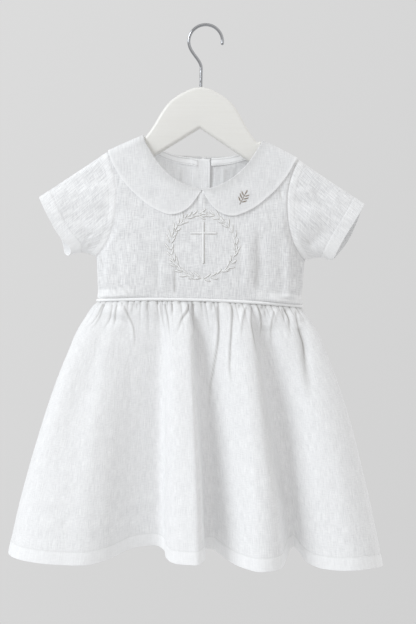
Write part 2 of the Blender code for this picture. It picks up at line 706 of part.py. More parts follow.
def build_collar(name, side_x, linen):
    """Half the collar, from the centre front over the shoulder to the centre back."""
    sections = collar_edges(side_x)
    stations = lengths_along(sections)
    fine = np.linspace(0, stations[-1], 2000)
    near_ridge = np.exp(-(((fine - stations[len(COLLAR_FRONT)]) / COLLAR_BEND) ** 4))
    crowd = np.cumsum(1 + (COLLAR_CROWD - 1) * near_ridge)
    columns = np.interp(np.linspace(crowd[0], crowd[-1], COLLAR_COLUMNS + 1), crowd, fine)
    edges = spline(stations, sections, columns)
    out = np.linspace(0, 1, COLLAR_ROWS + 1)[:, None]
    x = edges[None, :, 0] + (edges[:, 2] - edges[:, 0])[None] * out
    q = edges[None, :, 1] + (edges[:, 3] - edges[:, 1])[None] * out
    side = np.where(q >= 0, -1.0, 1.0)
    over_lap = np.where(q < 0, 1 - smoothstep(np.abs(x - CLOTH_X), *COLLAR_LAP_RAMP), 0.0)
    lift = WALL + COLLAR_GAP + COLLAR_LIFT * out**2 + LAYER * over_lap
    points, normals = cloth(x, np.abs(q), side, lift)
    points[..., 1] -= side * SEAM / 2 * (1 - smoothstep(np.abs(q), 0.0, COLLAR_FOLD))
    add_sheet(name, points, normals, linen)


def build_neck_band(name, side_x, inner_x, linen):
    """The binding inside the back neck, from the shoulder to the centre opening."""
    x = np.linspace(inner_x, CLOTH_X + side_x * NECK_BAND_REACH, 12)[None, :]
    top = back_neck(np.abs(x - CLOTH_X), side_x)
    z = top - np.linspace(0.0, NECK_BAND, 3)[:, None]
    x = np.broadcast_to(x, z.shape)
    points, normals = cloth(x, along_of(x, z), 1, -LAYER)
    add_sheet(name, points, normals, linen)


def build_button_stand(linen):
    """The button stand's inner layer, a strip down the centre back inside the left panel."""
    left, right = (CLOTH_X + edge for edge in BUTTON_STAND)
    x = np.linspace(left, right, 4)[None, :]
    top = back_neck(np.abs(x - CLOTH_X), 1) - STAND_DROP
    foot = waist_z(x) + PIPING / 2 + SEAM
    z = top + (foot - top) * np.linspace(0, 1, 9)[:, None]
    x = np.broadcast_to(x, z.shape)
    points, normals = cloth(x, along_of(x, z), 1, -LAYER)
    add_sheet("button_stand", points, normals, linen)


def build_buttons(shell):
    """The back buttons, low domes on the lapped panel."""
    for number, height in enumerate(BUTTON_ROWS, 1):
        x = np.array([CLOTH_X + (BUTTON_STAND[0] + BUTTON_STAND[1]) / 2])
        lift = LAYER + WALL / 2 + SEAM + BUTTON_HEIGHT / 2
        place, normal = cloth(x, along_of(x, height), 1, lift)
        tilt = math.atan2(normal[0, 2], normal[0, 1])
        mesh = bpy.data.meshes.new(f"button_{number}")
        disc = bmesh.new()
        bmesh.ops.create_cone(
            disc,
            cap_ends=True,
            segments=16,
            radius1=BUTTON_RADIUS * MM,
            radius2=BUTTON_RADIUS * 0.86 * MM,
            depth=BUTTON_HEIGHT * MM,
        )
        disc.to_mesh(mesh)
        disc.free()
        mesh.materials.append(shell)
        made = bpy.data.objects.new(f"button_{number}", mesh)
        made.location = place[0] * MM
        made.rotation_euler = (-math.pi / 2 + tilt, 0, 0)
        bpy.context.collection.objects.link(made)


# ---------------------------------------------------------------- waist and skirt


def build_piping(name, side, start, end, linen):
    """Corded piping in the waist seam, between two shares of its length."""
    shares = (1 - np.cos(np.linspace(0, math.pi, PIPING_POINTS))) / 2
    shares = shares[(shares >= start) & (shares <= end)]
    x = waist_x(np.clip(shares, start, end))
    points, _ = cloth(x, along_of(x, waist_z(x)), side, PIPING_PROUD)
    add_rod(name, points, PIPING, linen, resolution=1)


def hem_ring(turn):
    """x, y and z of the hem, turn 0 to 1 across the front from the left, 1 to 2 on the back."""
    nodes = np.array([row[1:] for row in HEM_FRONT + HEM_BACK])
    closed = np.concatenate([nodes[-3:], nodes, nodes[:4]])
    along = lengths_along(closed[:, :2])
    fine = np.linspace(along[0], along[-1], 4000)
    line = spline(along, closed, fine)
    travelled = lengths_along(line[:, :2])
    left, right, again = (
        np.interp(along[k], fine, travelled) for k in (3, 3 + len(HEM_FRONT), 3 + len(nodes))
    )
    turn = np.mod(turn, 2.0)
    at = np.where(
        turn <= 1, left + (right - left) * turn, right + (again - right) * (turn - 1)
    )
    return np.stack([np.interp(at, travelled, line[:, k]) for k in range(3)], axis=-1)


def waist_ring(turn):
    """x, y and z of the skirt's top edge, turn as in hem_ring."""
    turn = np.mod(turn, 2.0)
    front = turn <= 1
    x = waist_x(np.where(front, turn, 2 - turn))
    side = np.where(front, -1.0, 1.0)
    z = waist_z(x)
    return np.stack([x, side * half_depth(x, z), z - PIPING / 2 - SEAM], axis=-1)


def skirt_base(turn, fall):
    """The skirt without its gathers: from the waist's ring out to the hem's, fall 0 to 1 down."""
    waist, hem = waist_ring(turn), hem_ring(turn)
    rows = np.array(SPREAD_ROWS)
    spread = spline(rows[:, 0], rows[:, 1], fall)[..., None]
    points = waist + (hem - waist) * spread
    points[..., 2] = waist[..., 2] + (hem[..., 2] - waist[..., 2]) * fall
    return points


def surface_normals(surface, turn, fall):
    """Outward normals of a surface of turn and fall, from small steps both ways."""
    across, down = 0.0012, 0.004
    inner = np.clip(fall, down, 1 - down)
    step_turn = surface(turn + across, inner) - surface(turn - across, inner)
    step_fall = surface(turn, inner + down) - surface(turn, inner - down)
    normals = unit(np.cross(step_turn, step_fall))
    normals[..., 2] *= smoothstep(fall, 0.0, LEVEL_EDGE)
    return unit(normals)


def gather(turn, fall):
    """Height of the gathers: a cosine, each with its own height and its own length down."""
    wave = np.cos(2 * math.pi * GATHERS * turn)
    number = np.round(GATHERS * turn)
    uneven = 1 + GATHER_UNEVEN * np.sin(2.4 * number + 0.7 * np.sin(1.3 * number))
    share = 0.5 + 0.5 * np.sin(1.9 * number + 1.0 + np.sin(0.8 * number))
    length = GATHER_LENGTHS[0] + (GATHER_LENGTHS[1] - GATHER_LENGTHS[0]) * share**2
    fade = np.exp(-((fall * SKIRT_LENGTH / length) ** 1.5))
    return GATHER_HEIGHT * uneven * wave * fade


def skirt_surface(turn, fall):
    """The gathered skirt."""
    lift = gather(turn, fall)[..., None]
    return skirt_base(turn, fall) + surface_normals(skirt_base, turn, fall) * lift


def build_skirt(name, first, linen):
    """Half the skirt, side seam to side seam: fine columns in the gathers, fewer below them."""
    count = GATHERS * GATHER_COLUMNS
    fine, coarse = np.linspace(0, 1, count + 1), np.linspace(0, 1, count // 2 + 1)
    blocks, faces = [], []
    for turns, falls in ((fine, GATHER_ZONE), (coarse, FALL_ZONE)):
        turn, fall = np.meshgrid(turns + first, np.array(falls))
        start = sum(len(block[0]) for block in blocks)
        points = skirt_surface(turn, fall)
        normals = surface_normals(skirt_surface, turn, fall)
        side = -1.0 if first == 0 else 1.0
        points[..., 1] += side * SEAM / 2
        grid = facing(points, normals, grid_faces(len(falls), len(turns)))
        faces += [tuple(corner + start for corner in face) for face in grid]
        blocks.append((points.reshape(-1, 3), normals.reshape(-1, 3)))
    # The two blocks share a row: the upper one's last. The lower one's first row is left out,
    # and its faces there are fanned to both columns of the upper row.
    upper = len(blocks[0][0])
    row, low_row = upper - (count + 1), upper
    kept = [face for face in faces if not any(low_row <= c < low_row + count // 2 + 1 for c in face)]
    fans = []
    second = low_row + count // 2 + 1
    for column in range(count // 2):
        a, b, c = (row + 2 * column + k for k in range(3))
        d, e = second + column, second + column + 1
        fans += [(a, d, b), (b, d, e), (b, e, c)]
    points = np.concatenate([block[0] for block in blocks])
    normals = np.concatenate([block[1] for block in blocks])
    fans = facing(points, normals, fans)
    used = np.ones(len(points), bool)
    used[low_row : low_row + count // 2 + 1] = False
    place = np.cumsum(used) - 1
    renamed = [tuple(int(place[corner]) for corner in face) for face in kept + fans]
    add_wall(name, points[used], normals[used], renamed, linen)


# ---------------------------------------------------------------- the whole gown


def main():
    """Clears the scene and builds the hanger and the gown."""
    for old in list(bpy.data.objects):
        bpy.data.objects.remove(old, do_unlink=True)

    linen = material("white linen", (0.84, 0.85, 0.88), 0.85)
    piping = material("white piping", (0.86, 0.87, 0.90), 0.8)
    paint = material("painted wood", (0.80, 0.79, 0.76), 0.45)
    steel = material("plated steel wire", (0.60, 0.60, 0.62), 0.2, metallic=1.0)
    shell = material("button", (0.83, 0.82, 0.79), 0.3)

    build_hook(steel)
    build_hanger(paint)
    build_bodice_front(linen)
    stand_edge, lapped_edge = reversed(BUTTON_STAND)
    build_bodice_back("bodice_back_left", -1, (stand_edge, 0.0, lapped_edge), 0.0, linen)
    build_bodice_back("bodice_back_right", 1, (lapped_edge, 0.0, *LAP_RAMP), LAYER, linen)
    build_button_stand(linen)
    build_neck_band("neck_band_left", -1, CLOTH_X + NECK_BAND_ENDS[0], linen)
    build_neck_band("neck_band_right", 1, CLOTH_X + NECK_BAND_ENDS[1], linen)
    build_buttons(shell)
    for name, side_x in (("left", -1), ("right", 1)):
        build_sleeve(f"sleeve_{name}", side_x, linen)
        build_collar(f"collar_{name}", side_x, linen)
    build_piping("waist_piping_front", -1, 0.0, 1.0, piping)
    build_piping("waist_piping_back_left", 1, 0.0, 0.5, piping)
    build_piping("waist_piping_back_right", 1, 0.5, 1.0, piping)
    build_skirt("skirt_front", 0.0, linen)
    build_skirt("skirt_back", 1.0, linen)


main()
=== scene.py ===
"""Looks of a christening gown on its hanger: fine cloth, sewing, embroidery and finishes.

Every panel is a thin shell on the form of the solid that it stands for, worked out again here at
a finer pitch from the same sizes, with its gathers, creases, hems and seams. Sizes are
millimetres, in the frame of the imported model: +X to the right of the front view, +Y to the
back, +Z up, the origin at the top of the hook's inside. Meshes are made in metres.
"""

import logging
import math
from dataclasses import dataclass
from enum import Enum
from typing import Any

import bpy
import numpy as np
from mathutils import Matrix


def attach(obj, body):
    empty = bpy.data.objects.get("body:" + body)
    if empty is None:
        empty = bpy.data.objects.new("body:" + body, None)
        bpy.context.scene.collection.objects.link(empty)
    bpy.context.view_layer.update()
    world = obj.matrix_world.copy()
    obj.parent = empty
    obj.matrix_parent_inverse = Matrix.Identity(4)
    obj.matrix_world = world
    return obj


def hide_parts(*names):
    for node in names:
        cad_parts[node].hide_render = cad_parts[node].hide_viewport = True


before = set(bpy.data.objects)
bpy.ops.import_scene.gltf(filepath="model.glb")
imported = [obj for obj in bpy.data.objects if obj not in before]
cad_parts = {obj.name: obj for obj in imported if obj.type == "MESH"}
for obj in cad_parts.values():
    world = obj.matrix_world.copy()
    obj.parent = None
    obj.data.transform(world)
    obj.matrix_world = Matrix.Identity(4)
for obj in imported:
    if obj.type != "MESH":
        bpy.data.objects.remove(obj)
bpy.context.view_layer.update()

Array = np.ndarray
MM = 0.001
LOG = logging.getLogger("gown")


class Face(Enum):
    """The gown's two faces, by the sign of y."""

    FRONT = -1.0
    BACK = 1.0


class Hand(Enum):
    """Left and right in the front view, by the sign of x."""

    LEFT = -1.0
    RIGHT = 1.0

    @property
    def word(self) -> str:
        """The name's ending for a piece of this hand."""
        return self.name.lower()


# ---------------------------------------------------------------- numbers along lines


def smoothstep(value: Array, low: float, high: float) -> Array:
    """An S curve's height at each value: 0 below low, 1 above high."""
    share = np.clip((value - low) / (high - low), 0.0, 1.0)
    return share * share * (3.0 - 2.0 * share)


def hermite(
    share: Array, start: Array, leave: Array, end: Array, arrive: Array, span: Any = 1.0
) -> Array:
    """The cubic from start to end that leaves and arrives at slopes that are for a span."""
    square, cube = share**2, share**3
    return (
        (2 * cube - 3 * square + 1) * start + (cube - 2 * square + share) * span * leave
        + (3 * square - 2 * cube) * end + (cube - square) * span * arrive
    )


def spline(stations: Array, values: Array, at: Array) -> Array:
    """A smooth curve through values: cubics whose slopes are those of the neighbours.

    Args:
        stations: Rising places of the values.
        values: One value, or one row of values, for each station.
        at: Where to read the curve.

    Returns:
        The values there.
    """
    stations, values, at = (np.asarray(part, float) for part in (stations, values, at))
    slopes = np.gradient(values, stations, axis=0)
    left = np.clip(np.searchsorted(stations, at, side="right") - 1, 0, len(stations) - 2)
    span = stations[left + 1] - stations[left]
    share = (at - stations[left]) / span
    if values.ndim > 1:
        span, share = span[..., None], share[..., None]
    after = left + 1
    return hermite(share, values[left], slopes[left], values[after], slopes[after], span)


def bell(distance: Array, reach: Any) -> Array:
    """A bell curve: 1 at no distance, 1/e at the reach."""
    return np.exp(-((distance / reach) ** 2))


def lengths_along(points: Array) -> Array:
    """Length along a line of points, up to each of them."""
    steps = np.linalg.norm(np.diff(points, axis=0), axis=1)
    return np.concatenate(([0.0], np.cumsum(steps)))


def read_line(line: Array, along: Array, at: Array) -> Array:
    """A line's points at some lengths, from the length up to each of its points."""
    return np.stack([np.interp(at, along, part) for part in line.T], axis=-1)


def along_line(line: Array, shares: Array) -> Array:
    """Points at shares of a line's length."""
    along = lengths_along(line)
    return read_line(line, along, shares * along[-1])


def round_turn(count: int) -> Array:
    """Angles evenly round a circle."""
    return np.linspace(0.0, 2 * math.pi, count, endpoint=False)


def stacked(*parts: Array) -> Array:
    """Coordinates, one array each, as points."""
    return np.stack(parts, axis=-1)


def mirrored(sign: Array) -> Array:
    """Factors that turn points over to the front where the sign is below 0."""
    return stacked(np.ones_like(sign), sign, np.ones_like(sign))


def unit(vectors: Array) -> Array:
    """The vectors at length 1."""
    return vectors / np.maximum(np.linalg.norm(vectors, axis=-1, keepdims=True), 1e-12)


def crowded(count: int, *spots: tuple[float, float, float]) -> Array:
    """Rising shares from 0 to 1, closer together near each spot.

    Args:
        count: How many steps.
        spots: Where they crowd, over what reach, and how many times closer.

    Returns:
        count + 1 shares.
    """
    fine = np.linspace(0.0, 1.0, 6001)
    weight = np.ones_like(fine)
    for place, reach, times in spots:
        weight += (times - 1.0) * bell(fine - place, reach)
    total = np.concatenate(([0.0], np.cumsum((weight[1:] + weight[:-1]) / 2)))
    return np.interp(np.linspace(0.0, total[-1], count + 1), total, fine)


def nearest(across: Array, along: Array, line: Array) -> tuple[Array, Array, Array]:
    """How each place on a plane lies to a line of points.

    Args:
        across: The places' first coordinate.
        along: Their second.
        line: The line's points, two coordinates each.

    Returns:
        The distance to it, signed by the side of it, the share of its length at the nearest
        place, and the distance past its ends.
    """
    stations = lengths_along(line)
    best = np.full(across.shape, np.inf)
    signed, share, past = (np.zeros(across.shape) for _ in range(3))
    for start, stop, first, last in zip(line[:-1], line[1:], stations[:-1], stations[1:]):
        step = (stop - start) / (last - first)
        free = (across - start[0]) * step[0] + (along - start[1]) * step[1]
        held = np.clip(free, 0.0, last - first)
        off_x = across - start[0] - held * step[0]
        off_z = along - start[1] - held * step[1]
        gap = np.hypot(off_x, off_z)
        closer = gap < best
        best = np.where(closer, gap, best)
        side = np.sign(off_x * step[1] - off_z * step[0])
        signed = np.where(closer, gap * side, signed)
        share = np.where(closer, (first + held) / stations[-1], share)
        past = np.where(closer, np.abs(free - held), past)
    return signed, share, past


def uneven(x: Array, z: Array, seed: int, spacing: float, height: float, stretch: float = 1.0) -> Array:
    """A smooth random height over a plane: seeded values on a lattice, joined by S curves.

    Args:
        x: The places' first coordinate.
        z: Their second.
        seed: Seed of the values.
        spacing: Distance between them.
        height: Their standard deviation.
        stretch: How many times longer its bumps are along z.

    Returns:
        The height at each place.
    """
    size = 97
    lattice = np.random.default_rng(seed).standard_normal((size, size))
    a, b = x / spacing, z / (spacing * stretch)
    i, j = np.floor(a).astype(int), np.floor(b).astype(int)
    s, t = a - i, b - j
    s, t = s**3 * (s * (6 * s - 15) + 10), t**3 * (t * (6 * t - 15) + 10)
    near = lattice[i % size, j % size] * (1 - s) + lattice[(i + 1) % size, j % size] * s
    far = lattice[i % size, (j + 1) % size] * (1 - s)
    far = far + lattice[(i + 1) % size, (j + 1) % size] * s
    return height * (near * (1 - t) + far * t)


STEP_WIDTH = 1.1  # half the width of the drop where cloth folds over
COME_IN = 0.05  # share of a skirt's fold over which it begins


@dataclass(frozen=True)
class Crease:
    """A soft trough, or a ridge where its height is above 0, along a line in the front view.

    Its section is a bell on each side of the line. Where the cloth folds over it is a sawtooth:
    it rises slowly to the line, drops sharply across it and rises slowly again. It comes in and
    dies away along the line.
    """

    path: Any  # pairs of x from the gown's middle and z
    width: float
    height: float
    lean: float = 1.0  # how many times wider it is on the line's left than on its right
    come_in: float = 0.12
    die_away: float = 0.45
    stepped: float = 0.0  # share of it that is a step and not a bell

    def at(self, x: Array, z: Array) -> Array:
        """The crease's height at places of the front view.

        Args:
            x: The places' distance from the gown's middle.
            z: Their height.

        Returns:
            How far it moves the cloth outwards.
        """
        signed, past, fade = self.measure(x, z)
        width = np.where(signed < 0, self.width * self.lean, self.width)
        near = np.exp(-((signed / width) ** 2) - (past / self.width) ** 2)
        section = 1.0 - self.stepped + self.stepped * np.tanh(signed / STEP_WIDTH)
        return self.height * fade * section * near

    def shade(self, x: Array, z: Array, half: float = 0.9) -> tuple[Array, Array]:
        """Painted shade along the bottom of the crease, and painted highlight along its lip, in the front
        view.

        Args:
            x: The places' distance from the gown's middle.
            z: Their height.
            half: Half the width of each line.

        Returns:
            Shares of the darkest and of the brightest, 0 to 1.
        """
        signed, past, fade = self.measure(x, z)
        fade *= bell(past, half)
        dark = fade * np.exp(-(((signed + (0.6 if self.stepped else 0.0)) / half) ** 2))
        return dark, fade * np.exp(-(((signed - (0.8 if self.stepped else 1.5)) / half) ** 2))

    def measure(self, x: Array, z: Array) -> tuple[Array, Array, Array]:
        """How the places lie to the line.

        Args:
            x: The places' distance from the gown's middle.
            z: Their height.

        Returns:
            Signed distances to the line, how far past its ends, and how strong it is there.
        """
        turns = np.array(self.path)
        along = lengths_along(turns)
        line = spline(along, turns, np.linspace(0.0, along[-1], 4 * len(turns)))
        signed, share, past = nearest(x, z, line)
        fade = smoothstep(share, 0.0, self.come_in) if self.come_in else 1.0
        return signed, past, fade * (1.0 - smoothstep(share, 1.0 - self.die_away, 1.0))


def crease_rows(*rows: tuple[float, ...], side: float = 1.0) -> tuple[Crease, ...]:
    """Creases from rows of three x and z each, the x times side, and then their other fields."""
    turned = [tuple(zip(np.multiply(row[0:6:2], side), row[1:6:2])) for row in rows]
    return tuple(Crease(path, *row[6:]) for path, row in zip(turned, rows))


def relief(x: Array, z: Array, creases: tuple[Crease, ...]) -> Array:
    """All the creases' heights together."""
    return sum((crease.at(x, z) for crease in creases), np.zeros_like(x))


# ---------------------------------------------------------------- finishes


def linear(code: str) -> tuple[float, float, float, float]:
    """A linear colour from an sRGB hex code."""
    parts = [int(code[k : k + 2], 16) / 255 for k in (1, 3, 5)]
    shades = [p / 12.92 if p <= 0.04045 else ((p + 0.055) / 1.055) ** 2.4 for p in parts]
    return (*shades, 1.0)


def join(tree: Any, node: Any, inputs: dict[Any, Any]) -> None:
    """Sets a node's inputs, or joins them up.

    Args:
        tree: The node tree.
        node: The node.
        inputs: A value, a hex code or another node's output for each input, by name or number.
    """
    for name, value in inputs.items():
        if isinstance(value, bpy.types.NodeSocket):
            tree.links.new(value, node.inputs[name])
        else:
            node.inputs[name].default_value = linear(value) if isinstance(value, str) else value


def add_node(
    tree: Any, kind: str, inputs: dict[Any, Any] | None = None, out: int | str = 0, **settings: Any
) -> Any:
    """Adds a node to a tree.

    Args:
        tree: The node tree.
        kind: The node's type, without its ShaderNode.
        inputs: What join() gives its inputs.
        out: The output to return, by number or name.
        settings: The node's own settings.

    Returns:
        The output.
    """
    node = tree.nodes.new("ShaderNode" + kind)
    for name, value in settings.items():
        setattr(node, name, value)
    join(tree, node, inputs or {})
    return node.outputs[out]


@dataclass(frozen=True)
class Finish:
    """A material with one Principled shader, whose inputs each kind of finish works out."""

    name: str
    colour: str  # the finish's main colour, and its colour outside a render

    def looks(self, tree: Any) -> dict[Any, Any]:
        """What join() gives the shader.

        Args:
            tree: The material's node tree, to which its other nodes are added.

        Returns:
            The shader's inputs.
        """
        raise NotImplementedError

    def material(self) -> Any:
        """Builds the material.

        Returns:
            The material.
        """
        made = bpy.data.materials.new(self.name)
        made.use_nodes = True
        made.diffuse_color = linear(self.colour)
        tree = made.node_tree
        join(tree, tree.nodes["Principled BSDF"], self.looks(tree))
        return made


@dataclass(frozen=True)
class MattPaint(Finish):
    """A plain matt coat."""

    paint: str = "#DCDCDC"

    def looks(self, tree: Any) -> dict[Any, Any]:
        """What join() gives the shader."""
        return {"Base Color": self.paint, "Roughness": 0.9}


@dataclass(frozen=True)
class Linen(Finish):
    """Bleached plain-weave linen, washed: uneven yarns leave slubs and a mottled, matt face.

    Thin single cloth lets some light through and looks a little greyer than a hem, where two
    layers lie together; the light that comes through is painted glow, an emission, and shade in
    folds and seams is painted into the colour. Real yarns lie 0.5 mm apart, finer than the
    render shows, so the weave is drawn at twice that.
    """

    name: str = "bleached plain-weave linen"
    colour: str = "#F4F4F4"  # where its yarns lie close
    open: str = "#D2D2D3"  # where they lie apart
    double: str = "#F3F3F3"  # two layers together, and where a highlight is painted
    folded: str = "#9C9A96"  # painted shade deep in a fold or a seam, where little light comes back out
    covering: float = 0.55  # how much of the mottle a second layer hides
    yarn: float = 1.0
    slub_width: float = 0.8
    slub_length: float = 12.0
    cloud: float = 10.0
    cloud_share: float = 0.28
    evenness: float = 0.28  # half the spread of the noises that its two colours are mixed over
    weave_depth: float = 0.04
    slub_depth: float = 0.10
    cloud_depth: float = 0.04
    crumple: float = 22.0  # size of the patches between its finest creases
    crumple_depth: float = 0.10
    crumple_turn: float = 28.0  # degrees
    weft: float = 0.6  # how much its slubs show, beside the warp's
    turn: float = 0.0  # degrees that the cloth's grain is turned on the piece
    painted_glow: float = 0.05  # painted glow: emission that stands for daylight through the thin cloth from its other side
    painted_inside_glow: float = 0.10  # and more painted glow on the garment's inside

    def looks(self, tree: Any) -> dict[Any, Any]:
        """What join() gives the shader, on the piece's own UV map, which is in metres of cloth.

        Its face mixes open and colour by the sum of three noises: one drawn out along the
        warp, one along the weft and a cloudy one. Double cloth and painted highlight turn it
        towards double, painted shade towards the shade colour, and painted glow is its emission.
        Its bump adds the weave, a product of two sine waves, to the same noises, and fine creases
        where a broad noise is at its middle.
        """
        sizes = (self.slub_width, self.slub_length, self.cloud, self.crumple)
        across, along, cloud, crumple = (1 / (size * MM) for size in sizes)
        uv = add_node(tree, "UVMap", uv_map="UVMap")
        turn = (0.0, 0.0, math.radians(self.turn))
        turned = add_node(tree, "Mapping", {"Vector": uv, "Rotation": turn})
        noises = []
        scales = ((across, along, 1.0), (1.6 * along, across, 1.0), (cloud, 0.8 * cloud, 1.0))
        for scale, detail in zip(scales, (2.0, 2.0, 4.0)):
            place = add_node(tree, "Mapping", {"Vector": turned, "Scale": scale})
            inputs = {"Vector": place, "Scale": 1.0, "Detail": detail}
            noises.append(add_node(tree, "TexNoise", inputs, noise_dimensions="2D"))
        total = noises[0]
        sums = []
        for noise, share in ((noises[1], self.weft), (noises[2], self.cloud_share)):
            total = add_node(tree, "Math", {0: noise, 1: share, 2: total}, operation="MULTIPLY_ADD")
            sums.append(total)
        mean = 0.5 * (1.0 + self.weft + self.cloud_share)
        spread = {"From Min": mean - self.evenness, "From Max": mean + self.evenness}
        mottle = add_node(tree, "MapRange", {"Value": total} | spread)
        # Double cloth and painted highlight come in on layers, painted shade on the next attribute, and
        # painted glow on inside.
        layers, hollow, inside = (
            add_node(tree, "Attribute", out="Fac", attribute_name=name)
            for name in ("layers", "hollow", "inside")
        )
        layers = add_node(tree, "Math", {0: layers, 1: self.covering}, operation="MULTIPLY")
        colour = self.open
        for share, code in ((mottle, self.colour), (layers, self.double), (hollow, self.folded)):
            colour = add_node(tree, "Mix", {0: share, 6: colour, 7: code}, 2, data_type="RGBA")
        waves = {}
        for k, axis in enumerate(add_node(tree, "SeparateXYZ", {0: turned}).node.outputs[:2]):
            rate = math.pi / (self.yarn * MM)
            angle = add_node(tree, "Math", {0: axis, 1: rate}, operation="MULTIPLY")
            waves[k] = add_node(tree, "Math", {0: angle}, operation="SINE")
        weave = add_node(tree, "Math", waves, operation="MULTIPLY")
        lie = {"Scale": (1.7 * crumple, 0.7 * crumple, 1.0)}
        lie["Rotation"] = (0.0, 0.0, math.radians(self.crumple_turn))
        place = add_node(tree, "Mapping", {"Vector": uv} | lie)
        inputs = {"Vector": place, "Scale": 1.0, "Detail": 1.5, "Distortion": 0.6}
        level = add_node(tree, "TexNoise", inputs, noise_dimensions="2D")
        level = add_node(tree, "Math", {0: level, 1: 0.5}, operation="SUBTRACT")
        level = add_node(tree, "Math", {0: level}, operation="ABSOLUTE")
        inputs = {"Value": level, "From Max": 0.10}
        lines = add_node(tree, "MapRange", inputs, interpolation_type="SMOOTHSTEP")
        bump = {}
        for height, depth in (
            (weave, self.weave_depth), (sums[0], self.slub_depth), (noises[2], self.cloud_depth),
            (lines, -self.crumple_depth)
        ):
            inputs = {"Height": height, "Distance": abs(depth) * MM, "Strength": 1.0} | bump
            bump = {"Normal": add_node(tree, "Bump", inputs, invert=depth < 0)}
        # Painted glow: emission that stands for light coming through the cloth.
        inputs = {0: inside, 1: self.painted_inside_glow, 2: self.painted_glow}
        painted_glow = add_node(tree, "Math", inputs, operation="MULTIPLY_ADD")
        looks = {"Base Color": colour, "Roughness": 0.86, "Specular IOR Level": 0.25}
        looks |= {"Sheen Weight": 0.12, "Sheen Roughness": 0.45} | bump
        return looks | {"Emission Color": (0.96, 0.98, 1.0, 1.0), "Emission Strength": painted_glow}


@dataclass(frozen=True)
class SatinThread(Finish):
    """Mercerised cotton in satin stitch: parallel threads that lie close and shine softly.

    Real threads lie 0.25 mm apart, finer than the render shows, so they are drawn at 0.45 mm.
    """

    # Painted shade in the furrows between threads.
    shade: str = "#F0F0F0"
    pitch: float = 0.45
    slant: float = 24.0  # degrees of the threads on a leaf
    depth: float = 0.06

    def looks(self, tree: Any) -> dict[Any, Any]:
        """What join() gives the shader: a sine of ridges on the UV map, with painted shade in their furrows.
        """
        uv = add_node(tree, "UVMap", uv_map="UVMap")
        slant = (0.0, 0.0, math.radians(self.slant))
        turned = add_node(tree, "Mapping", {"Vector": uv, "Rotation": slant})
        across = add_node(tree, "SeparateXYZ", {"Vector": turned})
        rate = 2 * math.pi / (self.pitch * MM)
        angle = add_node(tree, "Math", {0: across, 1: rate}, operation="MULTIPLY")
        wave = add_node(tree, "Math", {0: angle}, operation="SINE")
        ridge = add_node(tree, "MapRange", {"Value": wave, "From Min": -1.0, "From Max": 0.2})
        inputs = {0: ridge, 6: self.shade, 7: self.colour}
        colour = add_node(tree, "Mix", inputs, 2, data_type="RGBA")
        inputs = {"Height": wave, "Distance": self.depth * MM, "Strength": 1.0}
        looks = {"Base Color": colour, "Normal": add_node(tree, "Bump", inputs)}
        return looks | {"Roughness": 0.42, "Sheen Weight": 0.25}


@dataclass(frozen=True)
class PaintedWood(Finish):
    """Beech under two coats of warm white satin paint: smooth, with the grain just felt."""

    name: str = "beech under satin paint"
    colour: str = "#EDECE8"
    thin: str = "#E6E4DF"  # where the coat is thinner over the grain
    grain: float = 2.4
    grain_length: float = 60.0
    depth: float = 0.03

    def looks(self, tree: Any) -> dict[Any, Any]:
        """What join() gives the shader: a noise drawn out along the hanger, as colour and low bump."""
        place = add_node(tree, "TexCoord", out="Object")
        scale = [1 / (size * MM) for size in (self.grain_length, self.grain, self.grain)]
        drawn = add_node(tree, "Mapping", {"Vector": place, "Scale": scale})
        noise = add_node(tree, "TexNoise", {"Vector": drawn, "Scale": 1.0, "Detail": 3.0})
        inputs = {0: noise, 6: self.thin, 7: self.colour}
        colour = add_node(tree, "Mix", inputs, 2, data_type="RGBA")
        inputs = {"Height": noise, "Distance": self.depth * MM, "Strength": 1.0}
        looks = {"Base Color": colour, "Normal": add_node(tree, "Bump", inputs)}
        return looks | {"Roughness": 0.38, "Coat Weight": 0.15, "Coat Roughness": 0.25}


@dataclass(frozen=True)
class PlatedSteel(Finish):
    """Nickel-plated spring steel wire: a bright mirror with faint drawing lines along it."""

    name: str = "nickel-plated steel wire"
    colour: str = "#A9AAAD"
    scratch: float = 0.35

    def looks(self, tree: Any) -> dict[Any, Any]:
        """What join() gives the shader: metal with a fine noise in its roughness."""
        place = add_node(tree, "TexCoord", out="Object")
        inputs = {"Vector": place, "Scale": 1 / (self.scratch * MM), "Detail": 2.0}
        noise = add_node(tree, "TexNoise", inputs)
        rough = add_node(tree, "MapRange", {"Value": noise, "To Min": 0.08, "To Max": 0.20})
        return {"Roughness": rough, "Base Color": self.colour, "Metallic": 1.0}


@dataclass(frozen=True)
class PearlResin(Finish):
    """Cast polyester with pearl flake: soft cloudy bands under a polished face."""

    name: str = "pearl polyester resin"
    colour: str = "#F7F6F1"
    band: str = "#E3E1DA"
    size: float = 3.2

    def looks(self, tree: Any) -> dict[Any, Any]:
        """What join() gives the shader: noise pulled by noise, as cloudy bands of two near colours."""
        place = add_node(tree, "TexCoord", out="Object")
        inputs = {"Scale": 1 / (self.size * MM), "Detail": 2.0, "Distortion": 2.0}
        noise = add_node(tree, "TexNoise", {"Vector": place} | inputs)
        inputs = {0: noise, 6: self.band, 7: self.colour}
        colour = add_node(tree, "Mix", inputs, 2, data_type="RGBA")
        looks = {"Base Color": colour, "Roughness": 0.22, "IOR": 1.54}
        return looks | {"Coat Weight": 0.4, "Coat Roughness": 0.08}


